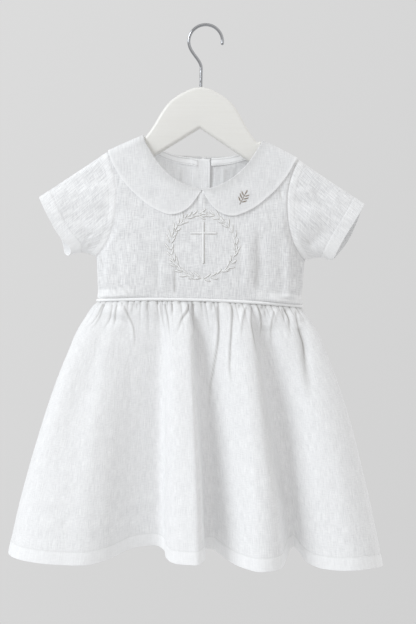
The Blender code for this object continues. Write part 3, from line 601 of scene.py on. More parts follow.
class Finishes:
    """Every material of the gown, made once."""

    def __init__(self) -> None:
        """Builds each material."""
        self.linen = Linen(evenness=0.38).material()
        self.bodice_linen = Linen("single linen", "#EFEFEF", "#CDCDCE").material()
        # Painted glow stands for the light inside the sleeves and the daylight behind the back.
        self.sleeve_linen = Linen("linen with light inside it", turn=14.0, painted_inside_glow=0.05).material()
        made = Linen("linen with daylight behind it", "#ECECEC", "#CACACB", painted_inside_glow=0.05)
        self.back_linen = made.material()
        self.collar_linen = Linen("pressed double linen", "#E8E8E8", "#D3D3D4", "#F1F1F1").material()
        self.piping = Linen("bias-cut linen over cord", "#F3F3F3", "#E6E6E6", turn=45.0).material()
        self.white_thread = SatinThread("white satin-stitch cotton", "#FFFFFF").material()
        # Painted shadow round the raised stitches.
        self.shadow_rim_paint = SatinThread("painted shadow round stitches", "#D4D1CB", "#C9C6BF").material()
        self.taupe_thread = SatinThread("taupe satin-stitch cotton", "#A89C8F", "#8E8277").material()
        self.paint = PaintedWood().material()
        self.steel = PlatedSteel().material()
        self.pearl = PearlResin().material()


# ---------------------------------------------------------------- meshes


def grid_quads(rows: int, columns: int, wrapped: bool = False) -> Array:
    """The faces of a grid of points, row after row.

    Args:
        rows: Rows of points.
        columns: Points in each row.
        wrapped: Whether the last column joins the first.

    Returns:
        Four point numbers for each face.
    """
    row, column = np.meshgrid(
        np.arange(rows - 1), np.arange(columns if wrapped else columns - 1), indexing="ij"
    )
    after = (column + 1) % columns
    corners = [row * columns + column, (row + 1) * columns + column]
    corners += [(row + 1) * columns + after, row * columns + after]
    return np.stack([corner.ravel() for corner in corners], axis=1)


def facing(points: Array, outward: Array, faces: Array) -> Array:
    """The faces, all turned over if they look against the points' outward directions."""
    a, b, c = (points[faces[:, k]] for k in range(3))
    agree = np.sum(np.cross(b - a, c - a) * outward[faces[:, 0]])
    return faces if agree > 0 else faces[:, ::-1]


def open_edges(faces: Array) -> Array:
    """The directed edges that only one face has.

    Args:
        faces: Point numbers of each face.

    Returns:
        Both ends of each edge, one row each.
    """
    starts, ends = faces.ravel(), np.roll(faces, -1, axis=1).ravel()
    count = int(faces.max()) + 1
    there, back = starts * count + ends, ends * count + starts
    alone = ~np.isin(there, back)
    return stacked(starts[alone], ends[alone])


def add_mesh(name: str, points: Array, faces: Array, finish: Any, **layers: Array) -> Any:
    """An object from points in millimetres.

    Args:
        name: The object's name.
        points: The points, one row each.
        faces: Point numbers of each face, the same count for all.
        finish: Its material.
        layers: uv, a pair in metres for each point, or other values for each point by name.

    Returns:
        The object, shaded smooth.
    """
    mesh = bpy.data.meshes.new(name)
    corners = faces.shape[1]
    mesh.vertices.add(len(points))
    mesh.vertices.foreach_set("co", np.asarray(points * MM, np.float32).ravel())
    mesh.loops.add(faces.size)
    mesh.loops.foreach_set("vertex_index", np.asarray(faces, np.int32).ravel())
    mesh.polygons.add(len(faces))
    mesh.polygons.foreach_set("loop_start", np.arange(0, faces.size, corners, dtype=np.int32))
    mesh.update(calc_edges=True)
    for key, values in layers.items():
        if key == "uv":
            made = mesh.uv_layers.new(name="UVMap")
            made.data.foreach_set("uv", np.asarray(values[faces.ravel()], np.float32).ravel())
        else:
            made = mesh.attributes.new(key, "FLOAT", "POINT")
            made.data.foreach_set("value", np.asarray(values, np.float32).ravel())
    mesh.materials.append(finish)
    mesh.shade_smooth()
    return add_object(name, mesh)


def add_object(name: str, data: Any) -> Any:
    """An object of a mesh, a light or a camera, in the scene."""
    made = bpy.data.objects.new(name, data)
    bpy.context.collection.objects.link(made)
    return made


def round_mesh(name: str, points: Array, outward: Array, finish: Any, **layers: Array) -> Any:
    """add_mesh() for a grid of points whose last column joins its first."""
    flat = points.reshape(-1, 3)
    faces = facing(flat, outward.reshape(-1, 3), grid_quads(*points.shape[:2], True))
    return add_mesh(name, flat, faces, finish, **layers)


@dataclass
class Cloth:
    """A panel as grids of rows and columns, before it is a mesh."""

    points: Array
    normals: Array
    uv: Array  # metres of cloth across and along
    layers: Array | float = 0.0  # 0 where the cloth is single, 1 where it is double; painted highlight adds to it
    thickness: Array | float = 0.5
    wrapped: bool = False
    hollow: Array | float = 0.0  # painted shade: 1 deep in a fold or a seam
    inside: float = 1.0  # share of the painted glow on its inner face, which stands for daylight through the cloth
    outside: float = 0.0  # and on its outer face

    def build(self, name: str, finish: Any) -> Any:
        """A closed shell: the grid moved half its thickness out and in, and its open edges joined.

        Args:
            name: The object's name.
            finish: Its material.

        Returns:
            The object.
        """
        rows, columns = self.points.shape[:2]
        points, normals = self.points.reshape(-1, 3), self.normals.reshape(-1, 3)
        half = np.broadcast_to(self.thickness, (rows, columns)).reshape(-1, 1) / 2
        layers, hollow = (
            np.tile(np.broadcast_to(part, (rows, columns)).ravel(), 2)
            for part in (self.layers, self.hollow)
        )
        outer = facing(points, normals, grid_quads(rows, columns, self.wrapped))
        count = len(points)
        edges = open_edges(outer)
        rims = np.concatenate([edges[:, ::-1], edges + count], axis=1)
        return add_mesh(
            name, np.concatenate([points + normals * half, points - normals * half]),
            np.concatenate([outer, outer[:, ::-1] + count, rims]), finish,
            uv=np.tile(self.uv.reshape(-1, 2), (2, 1)), layers=layers, hollow=hollow,
            inside=np.repeat([self.outside, self.inside], count)
        )


def grid_normals(points: Array, outward: Array, wrapped: bool = False) -> Array:
    """Normals of a grid from its neighbours' places.

    Args:
        points: The grid.
        outward: Roughly outward directions, which the most of them must agree with.
        wrapped: Whether its last column joins its first.

    Returns:
        A unit normal for each point.
    """
    if wrapped:
        across = np.roll(points, -1, axis=1) - np.roll(points, 1, axis=1)
    else:
        across = np.gradient(points, axis=1)
    normals = unit(np.cross(across, np.gradient(points, axis=0)))
    return normals * np.sign(np.sum(normals * outward))


def hollows(lift: Array, reach: int, depth: float, wrapped: bool = False) -> Array:
    """Painted shade where cloth lies below its neighbours in its own row: in tucks and at the foot of folds.

    Args:
        lift: Heights on a grid.
        reach: How many columns to each side count as neighbours.
        depth: How far below their mean the darkest places lie.
        wrapped: Whether the last column joins the first.

    Returns:
        The painted shade, 0 to 1, for each place.
    """
    window = np.hanning(2 * reach + 3)[1:-1]
    edges = np.pad(lift, ((0, 0), (reach, reach)), mode="wrap" if wrapped else "edge")
    views = [edges[:, k : k + lift.shape[1]] for k in range(2 * reach + 1)]
    mean = sum(share * view for share, view in zip(window / window.sum(), views))
    deep = np.pad(np.clip((mean - lift) / depth, 0.0, 1.0), ((1, 1), (0, 0)), mode="edge")
    return (deep[:-2] + 2 * deep[1:-1] + deep[2:]) / 4


def tube(line: Array, radius: Array | float, sides: int) -> tuple[Array, Array, Array]:
    """A round tube carried along a line, with frames turned as little as they can be.

    Each ring is a circle in the plane of two directions across the line, and its first one is
    the last ring's, made square to the line again.

    Args:
        line: The line's points.
        radius: The tube's radius, or one for each point.
        sides: Points round each ring.

    Returns:
        The grid of points, its outward directions, and its UV in metres.
    """
    ahead = unit(np.gradient(line, axis=0))
    first = np.cross(ahead[0], [0.0, 1.0, 0.0])
    frames = [unit(first if np.linalg.norm(first) > 0.1 else np.cross(ahead[0], [1.0, 0.0, 0.0]))]
    for direction in ahead[1:]:
        frames.append(unit(frames[-1] - direction * np.dot(frames[-1], direction)))
    one = np.array(frames)
    two = np.cross(ahead, one)
    turn = round_turn(sides)
    out = one[:, None] * np.cos(turn)[None, :, None] + two[:, None] * np.sin(turn)[None, :, None]
    size = np.broadcast_to(radius, (len(line),))
    points = line[:, None] + out * size[:, None, None]
    along = lengths_along(line)
    round_it = np.abs(turn - math.pi) * float(np.max(size))
    uv = np.stack(np.meshgrid(round_it * MM, along * MM), axis=-1)
    return points, out, uv


def closed_tube(name: str, line: Array, radius: float, sides: int, finish: Any) -> Any:
    """A tube whose ends are rounded over.

    Args:
        name: The object's name.
        line: The line that it follows.
        radius: Its radius.
        sides: Points round it.
        finish: Its material.

    Returns:
        The object.
    """
    lean = np.linspace(0.0, math.pi / 2, 6)[1:]
    ends = []
    for tip, inner in ((line[0], line[1]), (line[-1], line[-2])):
        direction = unit(tip - inner)
        ends.append(tip + direction * (radius * np.sin(lean))[:, None])
    path = np.concatenate([ends[0][::-1], line, ends[1]])
    sizes = np.concatenate([np.cos(lean)[::-1], np.ones(len(line)), np.cos(lean)]) * radius
    points, out, uv = tube(path, np.maximum(sizes, 0.01), sides)
    return round_mesh(name, points, out, finish, uv=uv.reshape(-1, 2))


@dataclass(frozen=True)
class Stitching:
    """Machine stitches: short threads that rise from the cloth and go back into it."""

    pitch: float = 2.6
    length: float = 2.0
    thread: float = 0.36
    rise: float = 0.10

    def build(self, name: str, lines: list[tuple[Array, Array]], finish: Any) -> Any:
        """One mesh of all the stitches on some lines.

        Each stitch is a tube of four rings of five points, thinner at its ends.

        Args:
            name: The object's name.
            lines: For each row of stitches its points and the cloth's outward directions.
            finish: Its material.

        Returns:
            The object.
        """
        share = np.array([-0.5, -0.2, 0.2, 0.5])
        size = np.array([0.35, 1.0, 1.0, 0.35]) * self.thread / 2
        lift = np.array([-0.6, 1.0, 1.0, -0.6]) * self.rise
        turn = round_turn(5)
        ring, each = grid_quads(len(share), len(turn), True), len(share) * len(turn)
        points, faces, uv, start = [], [], [], 0
        for line, normals in lines:
            along = lengths_along(line)
            count = int(along[-1] // self.pitch)
            middle = (np.arange(count) + 0.5) * self.pitch
            at = middle[:, None] + share * self.length
            spots, up = read_line(line, along, at), unit(read_line(normals, along, at))
            ahead = unit(spots[:, -1:] - spots[:, :1])
            aside = unit(np.cross(ahead, up))
            spots = spots + up * lift[:, None]
            out = aside[:, :, None] * np.cos(turn)[:, None]
            out = out + up[:, :, None] * np.sin(turn)[:, None]
            grid = spots[:, :, None] + out * size[:, None, None]
            numbers = start + np.arange(count)[:, None, None] * each
            turned = facing(grid[0].reshape(-1, 3), out[0].reshape(-1, 3), ring)
            faces.append((turned[None] + numbers).reshape(-1, 4))
            points.append(grid.reshape(-1, 3))
            place = np.stack(np.broadcast_arrays(at[:, :, None], turn * self.thread / 2), axis=-1)
            uv.append(place.reshape(-1, 2) * MM)
            start += count * each
        return add_mesh(
            name, np.concatenate(points), np.concatenate(faces), finish, uv=np.concatenate(uv)
        )


def settle(piece: Any, slot: str, *nodes: str) -> Any:
    """Makes a piece ride on the gown's body, and hides the CAD nodes that it takes the place of.

    Args:
        piece: The object.
        slot: The record's material slot; not used.
        nodes: CAD nodes that it takes the place of.

    Returns:
        The piece.
    """
    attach(piece, "root")
    if nodes:
        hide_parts(*nodes)
    LOG.info("%s: %d faces", piece.name, len(piece.data.polygons))
    return piece


# ---------------------------------------------------------------- the gown's form


@dataclass(frozen=True)
class BodiceForm:
    """The bodice as one height field over the front view.

    Half its depth is a product of four factors: how far down a place is, how far out, how near
    the side seam and how near the shoulder ridge. q is the length along the cloth from that
    ridge: a quarter circle over the hanger's arm, then straight down.
    """

    hanger_x: float = -4.2
    middle: float = -0.6  # the gown has slid a little along the hanger
    neck_half: float = 66.5
    neck_front: float = -182.5
    neck_back: float = -143.5
    neck_shape: float = 1.55
    neck_back_shape: float = 2.6
    ridge_top: float = -124.8
    shoulder_slope: float = 0.458
    sleeve_slope: float = 0.67
    arm_end: float = 106.0
    arm_end_soft: float = 5.0
    cap_round: float = 7.5
    shoulder_depth: float = 7.5
    waist_depth: float = 30.0
    top: float = -124.0
    side_round: float = 66.0
    side_thinning: float = 0.30
    chest_half: float = 114.6
    waist_half: float = 111.6
    underarm: float = -256.0
    waist: float = -301.5
    waist_sag: float = 3.6
    waist_tilt: float = 1.0
    cord: float = 3.3
    armhole_top: float = 104.8
    # Distance from the gown's middle and height, from the shoulder to the underarm.
    armhole_rows: tuple[tuple[float, float], ...] = (
        (97.5, -163.5), (93.4, -183.0), (93.3, -203.0), (95.8, -221.5), (101.2, -238.0), (109.0, -250.6)
    )

    def ridge(self, x: Array) -> Array:
        """Height of the shoulder ridge: one slope over the arm, a steeper one past it.

        Args:
            x: The places' x.

        Returns:
            The height there.
        """
        out = np.hypot(x - self.hanger_x, 1.0)
        past = self.arm_end_soft * np.log1p(np.exp((out - self.arm_end) / self.arm_end_soft))
        bend = (self.sleeve_slope - self.shoulder_slope) * past
        return self.ridge_top - self.shoulder_slope * (out - self.neck_half) - bend

    def side_half(self, z: Array) -> Array:
        """Half the bodice's width at a height."""
        share = np.clip((self.underarm - z) / (self.underarm - self.waist), 0.0, 1.0)
        return self.chest_half + (self.waist_half - self.chest_half) * share

    def inside_edge(self, x: Array, z: Array) -> Array:
        """How far in a place is from the side seam, or from the underarm's corner above it.

        Args:
            x: The places' x.
            z: Their height.

        Returns:
            The distances.
        """
        inwards = self.side_half(np.minimum(z, self.underarm)) - np.abs(x - self.middle)
        upwards = z - self.underarm
        corner = np.hypot(np.maximum(inwards, 0.0), np.maximum(upwards, 0.0))
        return np.where(upwards > 0, corner, inwards)

    def half_depth(self, x: Array, z: Array) -> Array:
        """Half the bodice's depth: its side and cap factors are quarter circles.

        Args:
            x: The places' x.
            z: Their height.

        Returns:
            Half the depth there.
        """
        fall = np.clip((self.top - z) / (self.top - self.waist), 0.0, 1.0)
        swell = (self.waist_depth - self.shoulder_depth) * (1.0 - (1.0 - fall) ** 2)
        thinning = 1.0 - self.side_thinning * ((x - self.middle) / self.chest_half) ** 2
        side = np.clip(self.inside_edge(x, z) / self.side_round, 0.0, 1.0)
        cap = np.clip((self.ridge(x) - z) / self.cap_round, 0.0, 1.0)
        rounded = np.sqrt(1.0 - (1.0 - side) ** 2) * np.sqrt(1.0 - (1.0 - cap) ** 2)
        return (self.shoulder_depth + swell) * thinning * rounded

    def along_of(self, x: Array, z: Array) -> Array:
        """q at a height."""
        drop = np.maximum(self.ridge(x) - z, 0.0)
        bend = self.cap_round * np.arccos(1 - np.minimum(drop, self.cap_round) / self.cap_round)
        return bend + np.maximum(drop - self.cap_round, 0.0)

    def cloth(self, x: Array, q: Array, face: Face, offset: Any = 0.0) -> tuple[Array, Array]:
        """Points of the bodice and their outward normals.

        Args:
            x: The places' x.
            q: Their length along the cloth from the ridge.
            face: Front or back.
            offset: How far off the cloth's middle, along the normal.

        Returns:
            The points, and a normal for each from the slopes of the depth.
        """
        x, q = np.broadcast_arrays(np.asarray(x, float), np.asarray(q, float))
        cap, bend = self.cap_round, self.cap_round * math.pi / 2
        drop = np.where(q < bend, cap * (1 - np.cos(np.minimum(q, bend) / cap)), q - bend + cap)
        z = self.ridge(x) - drop
        y = face.value * self.half_depth(x, z)
        clear, step = 0.02, 0.005
        at_edge = self.inside_edge(x, z) < clear
        near_x = np.where(at_edge, x - clear * np.sign(x - self.middle), x)
        near_z = np.where(at_edge & (z > self.underarm - clear), z + clear, z)
        near_z = np.minimum(near_z, self.ridge(x) - clear)
        slope_x = self.half_depth(near_x + step, near_z) - self.half_depth(near_x - step, near_z)
        slope_z = self.half_depth(near_x, near_z + step) - self.half_depth(near_x, near_z - step)
        ahead = np.full_like(slope_x, face.value)
        normal = unit(stacked(-slope_x / (2 * step), ahead, -slope_z / (2 * step)))
        offset = np.broadcast_to(np.asarray(offset, float), x.shape)
        return stacked(x, y, z) + normal * offset[..., None], normal

    def waist_height(self, x: Array) -> Array:
        """Height of the waist seam: it sags to the sides and tilts a little."""
        out = (x - self.middle) / self.waist_half
        return self.waist - self.waist_sag * out**2 - self.waist_tilt * out

    def waist_x(self, share: Array) -> Array:
        """x along the waist seam.

        Args:
            share: Shares of its length from the left side seam.

        Returns:
            x at each of them.
        """
        bend = np.linspace(-math.pi / 2, math.pi / 2, 721)
        x = self.middle + self.waist_half * np.sin(bend)
        along = lengths_along(stacked(x, self.half_depth(x, self.waist_height(x))))
        return np.interp(np.asarray(share) * along[-1], along, x)

    def armhole(self, hand: Hand, share: Array) -> Array:
        """The armhole's line.

        Args:
            hand: Which armhole.
            share: Shares of its length from the shoulder ridge.

        Returns:
            x and z at each of them.
        """
        top = self.middle + hand.value * self.armhole_top
        rows = [(self.middle + hand.value * out, z) for out, z in self.armhole_rows]
        foot = (self.middle + hand.value * self.chest_half, self.underarm)
        corners = np.array([(top, float(self.ridge(top)))] + rows + [foot])
        line = spline(np.arange(len(corners)), corners, np.linspace(0, len(corners) - 1, 600))
        flat = stacked(line[:, 0], self.along_of(line[:, 0], line[:, 1]))
        along = lengths_along(flat)
        return read_line(line, along, np.asarray(share) * along[-1])

    def front_neck(self, share: Array) -> Array:
        """The front neck's line, a superellipse.

        Args:
            share: Shares of the way round from its left end.

        Returns:
            x and z at each of them.
        """
        place = 2 * np.asarray(share) - 1
        turn = (1 - np.abs(place)) * math.pi / 2
        x = self.middle + np.sign(place) * self.neck_half * np.cos(turn) ** (2 / self.neck_shape)
        top = self.ridge(self.middle + np.sign(place) * self.neck_half)
        top = np.where(place == 0, self.neck_front, top)
        z = top + (self.neck_front - top) * np.sin(turn) ** (2 / self.neck_shape)
        return stacked(x, z)

    def back_neck(self, x: Array, hand: Hand) -> Array:
        """Height of the back neck at an x."""
        top = float(self.ridge(self.middle + hand.value * self.neck_half))
        share = np.clip(np.abs(x - self.middle) / self.neck_half, 0, 1)
        return self.neck_back + (top - self.neck_back) * share**self.neck_back_shape

    def waist_edge(self, share: Array) -> Array:
        """The panels' lower edge in x and q, just inside the cord of the piping."""
        x = self.waist_x(share)
        return stacked(x, self.along_of(x, self.waist_height(x) + self.cord / 2 - 0.5))

    def side_edge(self, hand: Hand, down: Array, armhole_part: float) -> Array:
        """A panel's outer edge in x and q: the armhole, then the side seam to the waist.

        Args:
            hand: Which side.
            down: Shares of the way down.
            armhole_part: The share at which the armhole ends.

        Returns:
            x and q at each of them.
        """
        waist_at = self.middle + hand.value * self.waist_half
        foot = float(self.waist_height(waist_at)) + self.cord / 2 - 0.5
        upper = self.armhole(hand, np.clip(down / armhole_part, 0, 1))
        below = np.clip((down - armhole_part) / (1 - armhole_part), 0, 1)
        z = self.underarm + (foot - self.underarm) * below
        x = np.where(below > 0, self.middle + hand.value * self.side_half(z), upper[:, 0])
        z = np.where(below > 0, z, upper[:, 1])
        return stacked(x, self.along_of(x, z))


def coons(edges: tuple[Array, Array, Array, Array], across: Array, down: Array) -> Array:
    """A patch between four edges: the two ruled surfaces, less the one through the corners.

    Args:
        edges: The top, bottom, left and right edge.
        across: Shares of the way across, one for each column.
        down: Shares of the way down, one for each row.

    Returns:
        The grid of points.
    """
    top, bottom, left, right = edges
    a, b = across[None, :, None], down[:, None, None]
    ruled = (1 - b) * top[None] + b * bottom[None] + (1 - a) * left[:, None] + a * right[:, None]
    corners = (1 - a) * (1 - b) * top[0] + a * (1 - b) * top[-1]
    return ruled - corners - (1 - a) * b * bottom[0] - a * b * bottom[-1]


def rounded(distance: Array, thickness: float, least: float = 0.2) -> Array:
    """Thickness of cloth that closes in a half circle towards an edge."""
    share = np.clip(distance / (thickness / 2), 0.0, 1.0)
    return thickness * np.maximum(np.sqrt(1.0 - (1.0 - share) ** 2), least)


SEAM_REACH = 1.3  # over this far the cloth dips into a seam
SEAM_DIP = 0.55
SINGLE = 0.5  # thickness of one layer
DOUBLE = 1.0


def seam_dip(distance: Array, reach: float = SEAM_REACH, depth: float = SEAM_DIP) -> Array:
    """How far the cloth goes in towards a seam: a bell on the distance from it."""
    return -depth * bell(distance, reach)


@dataclass(frozen=True)
class BodicePanel:
    """What the three panels of the bodice share: their rows, their seams and their finish."""

    form: BodiceForm
    finishes: Finishes
    armhole_part: float = 0.72  # share of the rows above the underarm
    armhole_rows: int = 90
    side_rows: int = 36

    def rows(self) -> Array:
        """Shares of the way down: close together at the shoulder ridge and at the waist."""
        upper = crowded(self.armhole_rows, (0.0, 0.06, 3.0)) * self.armhole_part
        lower = crowded(self.side_rows, (1.0, 0.1, 3.0))[1:]
        return np.concatenate([upper, self.armhole_part + (1 - self.armhole_part) * lower])

    def edge_distance(self, patch: Array, hands: tuple[Hand, ...]) -> tuple[Array, Array]:
        """How far each place is from the panel's sewn sides, and from the waist.

        Args:
            patch: x and q of the grid.
            hands: The sides that are sewn to a sleeve or to the other panel.

        Returns:
            Two distances for each place.
        """
        side = np.full(patch.shape[:2], 99.0)
        for hand in hands:
            edge = 0 if hand is Hand.LEFT else -1
            reach = np.linalg.norm(patch - patch[:, edge : edge + 1 or None], axis=-1)
            side = np.minimum(side, reach)
        return side, patch[-1:, :, 1] - patch[..., 1]

    def panel(
        self, patch: Array, face: Face, hands: tuple[Hand, ...], lift: Array,
        layers: Array | float = 0.0, thickness: Array | float = SINGLE, bulge: Array | float = 0.0
    ) -> Cloth:
        """The cloth on a patch of the form, with its seams' dips and painted shade in its seams and creases.

        Args:
            patch: x and q of the grid.
            face: Front or back.
            hands: Its sewn sides.
            lift: How far each place is moved off the form.
            layers: Where the cloth is double.
            thickness: Its thickness.
            bulge: How far the seam allowance under it pushes it out, up to the seams.

        Returns:
            The panel.
        """
        side, waist = self.edge_distance(patch, hands)
        fade = smoothstep(side, 0.0, 9.0) * smoothstep(waist, -0.5, 3.2)
        fade *= smoothstep(patch[..., 1], 2.0, 16.0)
        right = smoothstep(patch[..., 0] - self.form.middle, -40.0, 40.0)
        moved = lift * fade + bulge + seam_dip(side) * (0.45 + 0.55 * right)
        moved += seam_dip(waist, 1.3, 0.7)
        points, normals = self.form.cloth(patch[..., 0], patch[..., 1], face, moved)
        normals = np.where(fade[..., None] > 0.02, grid_normals(points, normals), normals)
        # Painted shade along the waist seam and the sewn sides, stronger to the right, away from the light,
        # and in the creases.
        seams = 0.35 * bell(waist, 0.9)
        seams += (0.06 + 0.19 * right) * bell(side, 0.9)
        hollow = np.clip(seams + 0.5 * hollows(lift * fade, 3, 0.35), 0.0, 1.0)
        return Cloth(points, normals, points[..., [0, 2]] * MM, layers, thickness, hollow=hollow)


@dataclass(frozen=True)
class FrontBodice(BodicePanel):
    """The front panel, cut on the fold, with the creases that hanging has left in it."""

    shoulder_columns: int = 26
    neck_columns: int = 134
    side_crowd: float = 0.07
    creases: tuple[Crease, ...] = crease_rows(
        (83.0, -291.3, 98.0, -291.6, 112.4, -292.9, 1.6, -0.5, 1.0, 0.3, 0.05),
        (-109.3, -289.4, -100.0, -290.6, -92.0, -291.4, 1.6, -0.7, 1.0, 0.05, 0.4),
        (-111.1, -258.8, -104.0, -267.0, -95.7, -274.1, 2.2, -1.2, 1.6, 0.05, 0.5),
        (-87.8, -279.5, -78.0, -290.0, -68.5, -299.7, 1.8, 1.1, 1.6, 0.3, 0.3),
        (-108.0, -268.0, -90.0, -288.0, -74.0, -301.0, 2.0, 1.0, 1.6, 0.2, 0.3),
        (-104.0, -276.0, -94.0, -290.0, -86.0, -302.0, 1.6, 0.8, 1.4, 0.2, 0.3),
        (-27.7, -264.5, -27.6, -281.0, -26.9, -297.8, 1.3, -0.6, 1.8, 0.3, 0.2),
        (83.7, -179.1, 86.0, -187.0, 89.3, -194.4, 1.8, -0.8, 1.5, 0.2, 0.4),
        (62.0, -214.0, 62.5, -250.0, 62.0, -296.0, 5.6, -2.2, 1.6, 0.4, 0.2),
        (48.0, -225.0, 49.0, -262.0, 48.0, -298.0, 5.0, 1.0, 1.5, 0.35, 0.3),
        (92.0, -232.0, 94.5, -268.0, 94.0, -299.0, 6.5, 3.8, 1.2, 0.3, 0.05),
        (-42.0, -250.0, -40.0, -272.0, -40.0, -298.0, 5.0, 1.4, 1.5, 0.35, 0.2),
        (-104.0, -240.0, -100.0, -268.0, -99.0, -298.0, 5.5, 1.4, 1.2, 0.35, 0.2),
        (92.0, -205.0, 98.0, -228.0, 106.0, -246.0, 4.0, -1.6, 1.6, 0.2, 0.3),
        (-92.0, -200.0, -97.0, -224.0, -106.0, -244.0, 4.0, -1.2, 1.6, 0.2, 0.3),
        (0.5, -184.0, 1.0, -192.0, 2.0, -203.0, 3.2, 1.1, 0.8, 0.2, 0.5)
    )

    def lift_at(self, x: Array, z: Array) -> Array:
        """How far the hanging cloth lies off the form at places of the front view.

        Args:
            x: The places' x.
            z: Their height.

        Returns:
            The height of the cloth over the form there.
        """
        lift = relief(x - self.form.middle, z, self.creases)
        # The sides stand off the form up to the underarms.
        out = np.abs(x - self.form.middle)
        flat = smoothstep(out, 40.0, 92.0) * (1 - smoothstep(out, 96.0, 112.0))
        lift += 2.5 * flat * (1 - smoothstep(z, -228.0, -203.0))
        return lift + uneven(x, z, 4, 42.0, 0.55, 1.3) + uneven(x, z, 5, 13.0, 0.10)

    def build(self) -> Any:
        """The panel, sewn at its shoulders, armholes, side seams and waist."""
        form = self.form
        steps = np.linspace(0.0, 1.0, self.shoulder_columns + 1)
        out = form.armhole_top + (form.neck_half - form.armhole_top) * steps
        shoulder = stacked(form.middle - out, 0 * out)
        neck = form.front_neck(np.linspace(0.0, 1.0, 1601))
        neck = along_line(neck, np.linspace(0.0, 1.0, self.neck_columns + 1))
        neck = stacked(neck[:, 0], form.along_of(neck[:, 0], neck[:, 1]))
        other = stacked(form.middle + out, 0 * out)[::-1]
        top = np.concatenate([shoulder[:-1], neck, other[1:]])
        across = np.linspace(0.0, 1.0, len(top))
        down = self.rows()
        bottom = form.waist_edge(across - self.side_crowd * np.sin(2 * math.pi * across))
        sides = [form.side_edge(hand, down, self.armhole_part) for hand in Hand]
        patch = coons((top, bottom, *sides), across, down)
        x, q = patch[..., 0], patch[..., 1]
        z = form.cloth(x, q, Face.FRONT)[0][..., 2]
        lift = self.lift_at(x, z)
        _, waist = self.edge_distance(patch, tuple(Hand))
        # The seam allowance above the waist pushes the cloth out and shows through it.
        turned_in = smoothstep(np.abs(x - form.middle), 58.0, 88.0)
        bulge = (0.8 + 1.1 * (x > form.middle)) * turned_in
        bulge = bulge * (1.0 - smoothstep(waist, 2.0, 11.0)) * smoothstep(waist, 0.0, 1.6)
        layers = 0.9 * turned_in * (1.0 - smoothstep(waist, 9.5, 10.5))
        cloth = self.panel(patch, Face.FRONT, tuple(Hand), lift, layers, bulge=bulge)
        piece = cloth.build("bodice_front_cloth", self.finishes.bodice_linen)
        return settle(piece, "linen", "bodice_front")


